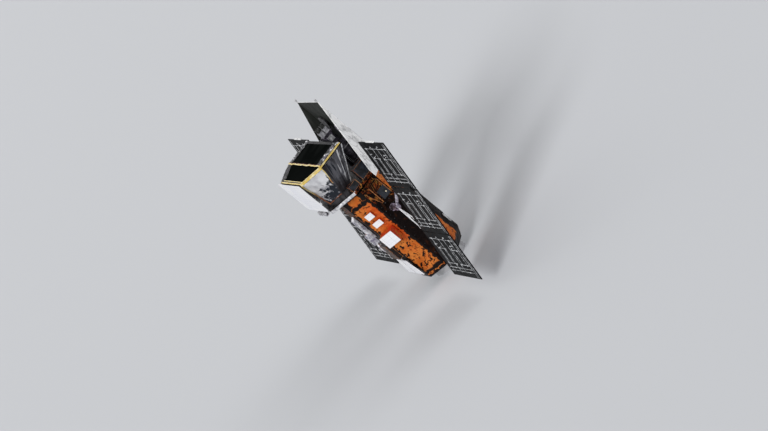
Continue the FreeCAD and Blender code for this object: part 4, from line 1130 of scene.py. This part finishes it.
class SATELLITE_OT_mask(Operator):
    """Covers the coded mask and its shield in film and lays the tapes and borders"""

    bl_idname = "satellite.mask"
    bl_label = "Coded mask"

    def execute(self, context):
        mask = values("mask")
        wrap("mask_shield", "shield_film", (0.016, 0.012, 0.15), "silver_foil", "shield_grey",
             "shield_bright", "shield_dark", choose=shield_finish)
        finish_nodes(mask_frame="frame_film", mask_panel="mask_black", mask_radiator="radiator_white",
                     radiator_posts="bare_metal")
        self.lay_borders(mask.far_border, mask.near_border)
        # The way along the slanted edge on the far side
        slant = Vector((MASK_BACK_X - MASK_KNEE_X, MASK_HALF - MASK_NARROW, 0.0)).normalized()
        self.lay_top_tapes(mask, slant)
        for side, sign in SIDES:
            self.lay_side_tapes(side, sign, slant)
        return {"FINISHED"}

    def lay_borders(self, far, near):
        """Crinkled strips on the far edges and inside the near edge."""
        near_y = near / 2 - MASK_HALF + 0.09
        for name, start, end, width in (
                ("far", (MASK_FRONT_X - 0.02, MASK_HALF - far / 2), (MASK_KNEE_X, MASK_HALF - far / 2), far),
                ("far_slant", (MASK_KNEE_X - 0.02, MASK_HALF - far * 0.66),
                 (MASK_BACK_X + far * 0.25, MASK_NARROW - far * 0.42), far),
                ("near", (MASK_FRONT_X - 0.03, near_y), (MASK_KNEE_X + 0.06, near_y), near)):
            made = strip((*start, MASK_TOP_Z), (*end, MASK_TOP_Z), UP, width, wave=0.055, lift=0.006,
                         step=0.025)
            with editing(made):
                bpy.ops.mesh.subdivide(number_cuts=1)
            crumple(made, 0.012, 0.05, direction="Z")
            smooth(made)
            dress(made, "mask_border_" + name, "mask_border")

    def lay_top_tapes(self, mask, slant):
        """Tapes on the mask's near and rear edges, across its knee and at its front corners."""
        front = MASK_FRONT_X
        knee = MASK_KNEE_X
        back = MASK_BACK_X
        inward = Vector((slant.y, -slant.x, 0.0)) * mask.slant_width / 2
        edge = mask.tape_width / 2 - MASK_HALF
        near = mask.tape_width - MASK_HALF
        # Name, finish, width, wave, lift, start and end
        rows = [
            ("near", "yellow_tape", mask.tape_width, 0.004, 0.003, (front, edge), (knee, edge)),
            ("slant", "yellow_tape", mask.slant_width, 0.003, 0.003,
             (knee + inward.x, inward.y - MASK_HALF), (back + inward.x, inward.y - MASK_NARROW)),
            ("rear", "yellow_tape", 0.034, 0.008, 0.003,
             (back + 0.018, -MASK_NARROW), (back + 0.018, MASK_NARROW)),
            ("rear_inner", "yellow_tape", 0.018, 0.012, 0.003,
             (back + 0.072, -MASK_NARROW), (back + 0.072, MASK_NARROW * 0.9)),
            ("knee", "yellow_tape", mask.knee_width, 0.040, 0.014,
             (knee + 0.02, near), (knee + 0.02, MASK_HALF)),
            # A painted shadow: a thin dark red line beside the knee tape
            ("knee_shadow", "painted_shadow_line", 0.014, 0.040, 0.012,
             (knee + 0.045, near), (knee + 0.045, MASK_HALF)),
        ]
        for side, sign in SIDES:
            start, end = ((front - 0.024, sign * (MASK_HALF - inset)) for inset in (0.004, 0.125))
            rows.append(("corner_" + side, "pale_tape", 0.044, 0.006, 0.008, start, end))
        for name, finish, width, wave, lift, start, end in rows:
            tape("tape_" + name, "silver_tape", finish, (*start, MASK_TOP_Z), (*end, MASK_TOP_Z), UP, width,
                 wave=wave, lift=lift)

    def lay_side_tapes(self, side, sign, slant):
        """Tapes round the mask's rim and down the shield's folds on one side."""
        corners = {"front": (MASK_FRONT_X, sign * MASK_HALF), "knee": (MASK_KNEE_X, sign * MASK_HALF),
                   "back": (MASK_BACK_X, sign * MASK_NARROW)}
        for edge, first, last, outward, width in (
                ("long", "front", "knee", (0.0, sign, 0.0), 0.020),
                ("slanted", "knee", "back", (-slant.y, sign * -slant.x, 0.0), 0.050)):
            level = MASK_TOP_Z - width / 2
            tape(f"tape_rim_{edge}_{side}", "silver_tape", "yellow_tape", (*corners[first], level),
                 (*corners[last], level), outward, width, wave=0.004, lift=0.002)
        for fold, ((foot_x, foot_y), outward, width, finish) in SHIELD_FOLDS.items():
            top = Vector((*corners[fold], SHIELD_TOP_Z))
            foot = Vector((foot_x, sign * foot_y, SHIELD_FOOT_Z))
            along = (foot - top).normalized()
            outward = Vector((outward[0], sign * outward[1], outward[2]))
            outward -= along * outward.dot(along)
            if fold == "knee":
                foot = top.lerp(foot, 0.55)
            tape(f"tape_fold_{fold}_{side}", "silver_tape", finish, top, foot, outward, width, wave=0.030,
                 lift=0.006)


# Place, radius and height of the mouth of each telescope, the thickness of their walls and their bores' depth
TUBES = {"xray": (0.400, 0.300, 0.170, 3.930), "uv": (0.405, -0.290, 0.155, 3.720)}
TUBE_WALL = 0.014
BORE_DEPTH = 0.450
# Near side of the trackers' bracket
BRACKET_SIDE_Y = -0.030


class SATELLITE_OT_telescopes(Operator):
    """Finishes the telescopes, their covers, mirrors and star trackers"""

    bl_idname = "satellite.telescopes"
    bl_label = "Telescopes"

    def execute(self, context):
        finish_nodes(xray_telescope="tube_grey", uv_telescope="tube_grey", xray_cover="cover_black",
                     uv_cover="cover_silver", tracker_bracket="bracket_film",
                     star_tracker_rear="tracker_grey", star_tracker_front="tracker_grey")
        for name, (x, y, radius, top) in TUBES.items():
            self.fit_out(name, x, y, radius, top)
        self.hang_unit()
        return {"FINISHED"}

    def fit_out(self, name, x, y, radius, top):
        """Black baffle rings in the bore, a gold mirror at its foot and two pale bands round the tube."""
        bore = radius - TUBE_WALL
        for label, drop in (("mouth", 0.006), ("middle", 0.200), ("foot", 0.400)):
            ring = primitive("torus", major_radius=bore - 0.001, minor_radius=0.003, major_segments=48,
                             minor_segments=8)
            smooth(ring)
            dress(ring, f"{name}_baffle_{label}", "tube_grey", "bore_black", place=move((x, y, top - drop)))
        dress(disc(bore - 0.004, 0.012, 48), name + "_mirror", "bare_metal", "mirror_gold",
              place=move((x, y, top - BORE_DEPTH + 0.0005)))
        for label, drop in (("upper", 0.110), ("lower", 0.480)):
            dress(hoop(radius + 0.001, 0.022, 0.003), f"{name}_band_{label}", "tube_grey", "pale_tape",
                  place=move((x, y, top - drop)))

    def hang_unit(self):
        """The trackers' electronics, a ribbed light grey box on the near side of their bracket."""
        place = surface((0.385, BRACKET_SIDE_Y, 3.880), (1.0, 0.0, 0.0), UP)
        dress(plate(0.132, 0.124, 0.070, 0.010, 0.003), "tracker_unit", "tracker_grey", "unit_grey",
              place=place)
        for index in range(4):
            dress(block((0.006, 0.096, 0.008), edge=0.0015), f"tracker_unit_rib_{index + 1}", "tracker_grey",
                  "unit_grey", place=place @ move(((index - 1.5) * 0.024, 0.0, 0.053)))


SHADE_LEAN = math.radians(45.7)


class SATELLITE_OT_sunshade(Operator):
    """Skins the sunshade white outside and dark inside"""

    bl_idname = "satellite.sunshade"
    bl_label = "Sunshade"

    def execute(self, context):
        # The ways along and out of each panel, seen from above
        ways = {"centre": (0.0, 1.0, 1.0, 0.0)}
        for side, sign in SIDES:
            run = math.cos(SHADE_LEAN)
            rise = math.sin(SHADE_LEAN)
            ways["flank_" + side] = (-rise, sign * run, run, sign * rise)
        for name, (along_x, along_y, out_x, out_y) in ways.items():
            node = "sunshade_" + name
            outward = Vector((out_x, out_y, 0.0))
            made = sheet_blanket(node, Vector((along_x, along_y, 0.0)), 0.035, 0.006, 0.10)
            stand_in(made, node, node + "_skin", "shade_skin", "shade_white", "shade_dark",
                     choose=lambda centre, normal, way=outward: 1 if normal.dot(way) < -0.6 else 0)
        finish_nodes(sunshade_posts="post_grey")
        return {"FINISHED"}


# Flat cables on a panel's back: start and end, each as a share of its width from the inner edge and a share
# of its length from the lower edge
WIRE_SHARES = (
    # Long runs up the panel
    (0.16, 0.10, 0.16, 0.88), (0.415, 0.10, 0.415, 0.86), (0.60, 0.10, 0.60, 0.86),
    (0.205, 0.30, 0.205, 0.66), (0.375, 0.30, 0.375, 0.66),
    (0.665, 0.30, 0.665, 0.66), (0.84, 0.30, 0.84, 0.66), (0.80, 0.66, 0.80, 0.86),
    # Runs across the panel
    (0.08, 0.86, 0.93, 0.86), (0.16, 0.645, 0.44, 0.645), (0.62, 0.635, 0.90, 0.635),
    (0.14, 0.30, 0.46, 0.30), (0.62, 0.30, 0.93, 0.30),
    (0.08, 0.205, 0.93, 0.205), (0.10, 0.13, 0.93, 0.13),
    # Short links
    (0.14, 0.73, 0.24, 0.74), (0.70, 0.725, 0.81, 0.735), (0.30, 0.86, 0.38, 0.90),
    (0.58, 0.87, 0.66, 0.91), (0.24, 0.66, 0.34, 0.70), (0.66, 0.66, 0.74, 0.69),
    # Double run along the outer edge
    (0.925, 0.04, 0.925, 0.97), (0.98, 0.02, 0.98, 0.98),
)
# Connectors on the cables, as shares of the panel in the same way
CONNECTOR_SHARES = (
    (0.16, 0.86), (0.415, 0.86), (0.60, 0.86), (0.80, 0.86), (0.925, 0.86), (0.16, 0.73), (0.24, 0.655),
    (0.44, 0.645), (0.70, 0.725), (0.84, 0.635), (0.62, 0.635), (0.16, 0.30), (0.46, 0.30), (0.62, 0.30),
    (0.84, 0.30), (0.925, 0.205), (0.30, 0.205), (0.54, 0.205), (0.75, 0.13), (0.10, 0.13), (0.38, 0.90),
    (0.66, 0.91),
)
PANEL_ROWS = (("upper", 1.0), ("middle", 0.0), ("lower", -1.0))
# The bar on a wing's upper edge: where it starts, as a share of the panel's width from the inner edge
TIP_BAR_INNER_SHARE = 0.33
TIP_BAR_LENGTH = 0.510
# Space between neighbouring solar cells, and their thickness
CELL_SPACE = 0.0025
CELL_THICK = 0.0012


def frame_joint(name):
    """A point on a joint's axis."""
    joint = next(joint for joint in frame["joints"] if joint["name"] == name)
    return Vector(joint["pos_m"])


def panel_body(row, side):
    return f"wing_{side}" if row == "middle" else f"wing_{side}_{row}"


def wing_surface(sign, row, back):
    """The placing on the back or the front of one wing panel, at its middle, with Y up the wing."""
    wings = values("wings")
    up = Vector((math.sin(wings.lean), 0.0, math.cos(wings.lean)))
    front = Vector((math.cos(wings.lean), 0.0, -math.sin(wings.lean)))
    middle = frame_joint("wing_left_drive")
    middle.y = sign * (wings.inner_reach + wings.panel_width / 2)
    middle += up * row * (wings.panel_length + wings.panel_space)
    normal = -front if back else front
    return surface(middle + normal * wings.panel_thick / 2, up.cross(normal), up)


def spread_copies(model, name, finish, back):
    """Puts a copy of one panel's dressing on all six panels. The left wing's backs get it mirrored."""
    for side, sign in SIDES:
        flip = back and sign > 0
        turned = Matrix.Diagonal((-1.0 if flip else 1.0, 1.0, 1.0, 1.0))
        for row, place in PANEL_ROWS:
            made = copy_of(model)
            settle(made, wing_surface(sign, place, back) @ turned)
            if flip:
                turn_outwards(made)
            dress(made, f"{name}_{row}_{side}", "panel_back", finish, body=panel_body(row, side))
    bpy.data.objects.remove(model)


class SATELLITE_OT_wing_wiring(Operator):
    """Lays the flat cables on the backs of the wing panels and caps the bars on their upper edges"""

    bl_idname = "satellite.wing_wiring"
    bl_label = "Wing wiring"

    def execute(self, context):
        wings = values("wings")

        def spot(across, up):
            return Vector(((across - 0.5) * wings.panel_width, (up - 0.5) * wings.panel_length, 0.0))

        runs = []
        for across, up, last_across, last_up in WIRE_SHARES:
            start = spot(across, up)
            end = spot(last_across, last_up)
            # A run across the panel is a little narrower
            level = abs(end.x - start.x) >= abs(end.y - start.y)
            runs.append(strip(start, end, UP, wings.wire_width * (0.8 if level else 1.0), wings.wire_thick,
                              wave=0.008, lift=0.001, step=0.1))
        for across, up in CONNECTOR_SHARES:
            runs.append(block((0.046, 0.034, 0.010), spot(across, up) + UP * 0.0055, 0.003))
        spread_copies(joined(runs), "wing_wires", "panel_wire", True)
        for side, sign in SIDES:
            finish_nodes(**{f"wing_panel_{row}_{side}": "panel_back" for row, _ in PANEL_ROWS})
            self.cap_tip_bar(wings, side, sign)
        return {"FINISHED"}

    def cap_tip_bar(self, wings, side, sign):
        """A white rounded cap over the bar on the upper edge of the upper panel."""
        cap = block((0.522, 0.044, 0.044), edge=0.020, segments=5)
        smooth(cap)
        away = sign * (wings.panel_width * (TIP_BAR_INNER_SHARE - 0.5) + TIP_BAR_LENGTH / 2)
        height = wings.panel_length / 2 + 0.018
        place = move((0.0, away, 0.0)) @ wing_surface(sign, 1.0, True)
        dress(cap, "tip_bar_cap_" + side, "yoke_tube", "shade_white", body=panel_body("upper", side),
              place=place @ move((0.0, height, -wings.panel_thick / 2)))


class SATELLITE_OT_wing_cells(Operator):
    """Lays the solar cells on the fronts of the wing panels"""

    bl_idname = "satellite.wing_cells"
    bl_label = "Solar cells"

    def execute(self, context):
        wings = values("wings")
        field = Vector((wings.panel_width, wings.panel_length)) - Vector((2.0, 2.0)) * wings.cell_margin
        pitch = Vector((field.x / wings.cells_across, field.y / wings.cells_up))
        middle = ((pitch.x - field.x) / 2, (pitch.y - field.y) / 2, wings.cell_proud + CELL_THICK / 2)
        model = block((pitch.x - CELL_SPACE, pitch.y - CELL_SPACE, CELL_THICK), middle)
        with editing(model, looks_up):
            # A thin rim round each cell
            bpy.ops.mesh.inset(thickness=0.0015)
        for count, way in ((wings.cells_across, (pitch.x, 0.0, 0.0)), (wings.cells_up, (0.0, pitch.y, 0.0))):
            apply_modifier(model, "ARRAY", count=count, use_relative_offset=False, use_constant_offset=True,
                           constant_offset_displace=way)
        spread_copies(model, "wing_cells", "cell_glass", False)
        return {"FINISHED"}


# Outer faces of the drive's plate and of the hub's flange, from the bus axis
DRIVE_PLATE_Y = 0.6775
HUB_FLANGE_Y = 0.9295


class SATELLITE_OT_yokes(Operator):
    """Wraps the wing drives and yokes and sets the bolts on the drives and hubs"""

    bl_idname = "satellite.yokes"
    bl_label = "Wing drives and yokes"

    def execute(self, context):
        # Eight bolts along a square on each drive's plate, and six in a circle on each hub's flange
        steps = (-0.130, 0.0, 0.130)
        square = [(x, z) for x in steps for z in steps if x or z]
        turns = [math.radians(60.0 * count + 15.0) for count in range(6)]
        circle = [(0.066 * math.cos(turn), 0.066 * math.sin(turn)) for turn in turns]
        for side, sign in SIDES:
            axis = frame_joint(f"wing_{side}_drive")
            for name, body, reach, radius, height, spots in (
                    ("drive_bolts_", SPACECRAFT, DRIVE_PLATE_Y, 0.009, 0.008, square),
                    ("hub_bolts_", "wing_" + side, HUB_FLANGE_Y, 0.006, 0.006, circle)):
                face = upright_surface((0.0, sign, 0.0), reach)
                places = [move((axis.x + x, 0.0, axis.z + z)) @ face for x, z in spots]
                dress(set_of(bolt(radius, height), places), name + side, "box_dark", "cover_black", body=body)
            finish_nodes(**{"drive_housing_" + side: "dark_foil", "wing_hub_" + side: "hub_wrap",
                            "yoke_arm_upper_" + side: "drive_wrap", "yoke_arm_lower_" + side: "yoke_tube"})
        return {"FINISHED"}


class SATELLITE_OT_stage(Operator):
    """Lays the floor, hangs the lamps and stands the camera where the picture was taken from"""

    bl_idname = "satellite.stage"
    bl_label = "Stage"

    def execute(self, context):
        stage = values("stage")
        scene = context.scene
        scene.view_settings.view_transform = "Standard"
        floor = primitive("plane", size=stage.floor_size)
        floor.name = "floor"
        p = Paint("floor")
        p.start("stage.floor", p.noise(40.0, 2.0), ink(198, 200, 204))
        p.done(0.85)
        floor.data.materials.append(p.material)
        self.light_sky(scene, stage)
        # Name, way to the lamp, softness in degrees and share of the main lamp's strength
        for name, away, softness, share in (("key", (-0.66, -0.62, 0.55), 22.0, 1.0),
                                            ("fill", (0.80, -0.45, 0.60), 40.0, 0.42),
                                            ("rim", (-0.2, 0.85, 0.55), 40.0, 0.22)):
            self.hang_lamp(scene, name, away, softness, stage.key_power * share)
        self.stand_camera(scene, stage)
        return {"FINISHED"}

    def light_sky(self, scene, stage):
        """Even light from all round. The camera sees the floor's tone there, and gloss a brighter one."""
        world = bpy.data.worlds.new("sky")
        scene.world = world
        world.use_nodes = True
        nodes = world.node_tree.nodes
        links = world.node_tree.links
        nodes["Background"].inputs["Color"].default_value = (1.0, 1.0, 1.0, 1.0)
        path = nodes.new("ShaderNodeLightPath")
        strength = None
        for ray, seen in (("Is Camera Ray", stage.backdrop), ("Is Glossy Ray", stage.mirrored_sky)):
            choice = nodes.new("ShaderNodeMix")
            choice.inputs[2].default_value = stage.sky_power
            choice.inputs[3].default_value = seen
            links.new(path.outputs[ray], choice.inputs[0])
            if strength:
                links.new(strength, choice.inputs[2])
            strength = choice.outputs[0]
        links.new(strength, nodes["Background"].inputs["Strength"])

    def hang_lamp(self, scene, name, away, softness, power):
        """A far lamp with soft shadows that lights the whole floor evenly."""
        lamp = bpy.data.lights.new(name, "SUN")
        lamp.angle = math.radians(softness)
        lamp.energy = power
        holder = bpy.data.objects.new(name, lamp)
        holder.rotation_euler = Vector(away).to_track_quat("Z", "Y").to_euler()
        scene.collection.objects.link(holder)

    def stand_camera(self, scene, stage):
        camera = bpy.data.cameras.new("camera")
        camera.lens = stage.camera_lens
        camera.sensor_width = 36.0
        camera.clip_start = 1.0
        camera.clip_end = 2000.0
        holder = bpy.data.objects.new("camera", camera)
        scene.collection.objects.link(holder)
        right = Vector(stage.camera_right).normalized()
        back = -Vector(stage.camera_aim).normalized()
        turn = Matrix((right, back.cross(right).normalized(), back)).transposed()
        holder.matrix_world = move(Vector(stage.camera_place)) @ turn.to_4x4()
        scene.camera = holder


STEPS = (SATELLITE_OT_stage, SATELLITE_OT_bus, SATELLITE_OT_side_faces, SATELLITE_OT_radiator_boxes,
         SATELLITE_OT_rear, SATELLITE_OT_bench, SATELLITE_OT_mask, SATELLITE_OT_telescopes,
         SATELLITE_OT_sunshade, SATELLITE_OT_wing_wiring, SATELLITE_OT_wing_cells, SATELLITE_OT_yokes)


class SATELLITE_PT_finish(Panel):
    """Lists the steps that finish the satellite, in their order, and their settings"""

    bl_label = "Satellite"
    bl_idname = "SATELLITE_PT_finish"
    bl_space_type = "VIEW_3D"
    bl_region_type = "UI"
    bl_category = "Satellite"

    def draw(self, context):
        for step in STEPS:
            self.layout.operator(step.bl_idname)
        for group, kind in GROUPS.items():
            box = self.layout.box()
            box.label(text=kind.__name__)
            for key in kind.__annotations__:
                box.prop(getattr(context.scene, group), key)


def register():
    for kind in (*GROUPS.values(), *STEPS, SATELLITE_PT_finish):
        bpy.utils.register_class(kind)
    for group, kind in GROUPS.items():
        setattr(bpy.types.Scene, group, PointerProperty(type=kind))


def unregister():
    for group in GROUPS:
        delattr(bpy.types.Scene, group)
    for kind in (SATELLITE_PT_finish, *reversed(STEPS), *GROUPS.values()):
        bpy.utils.unregister_class(kind)


def main():
    register()
    for step in STEPS:
        area, action = step.bl_idname.split(".")
        getattr(getattr(bpy.ops, area), action)()


if __name__ == "__main__":
    main()
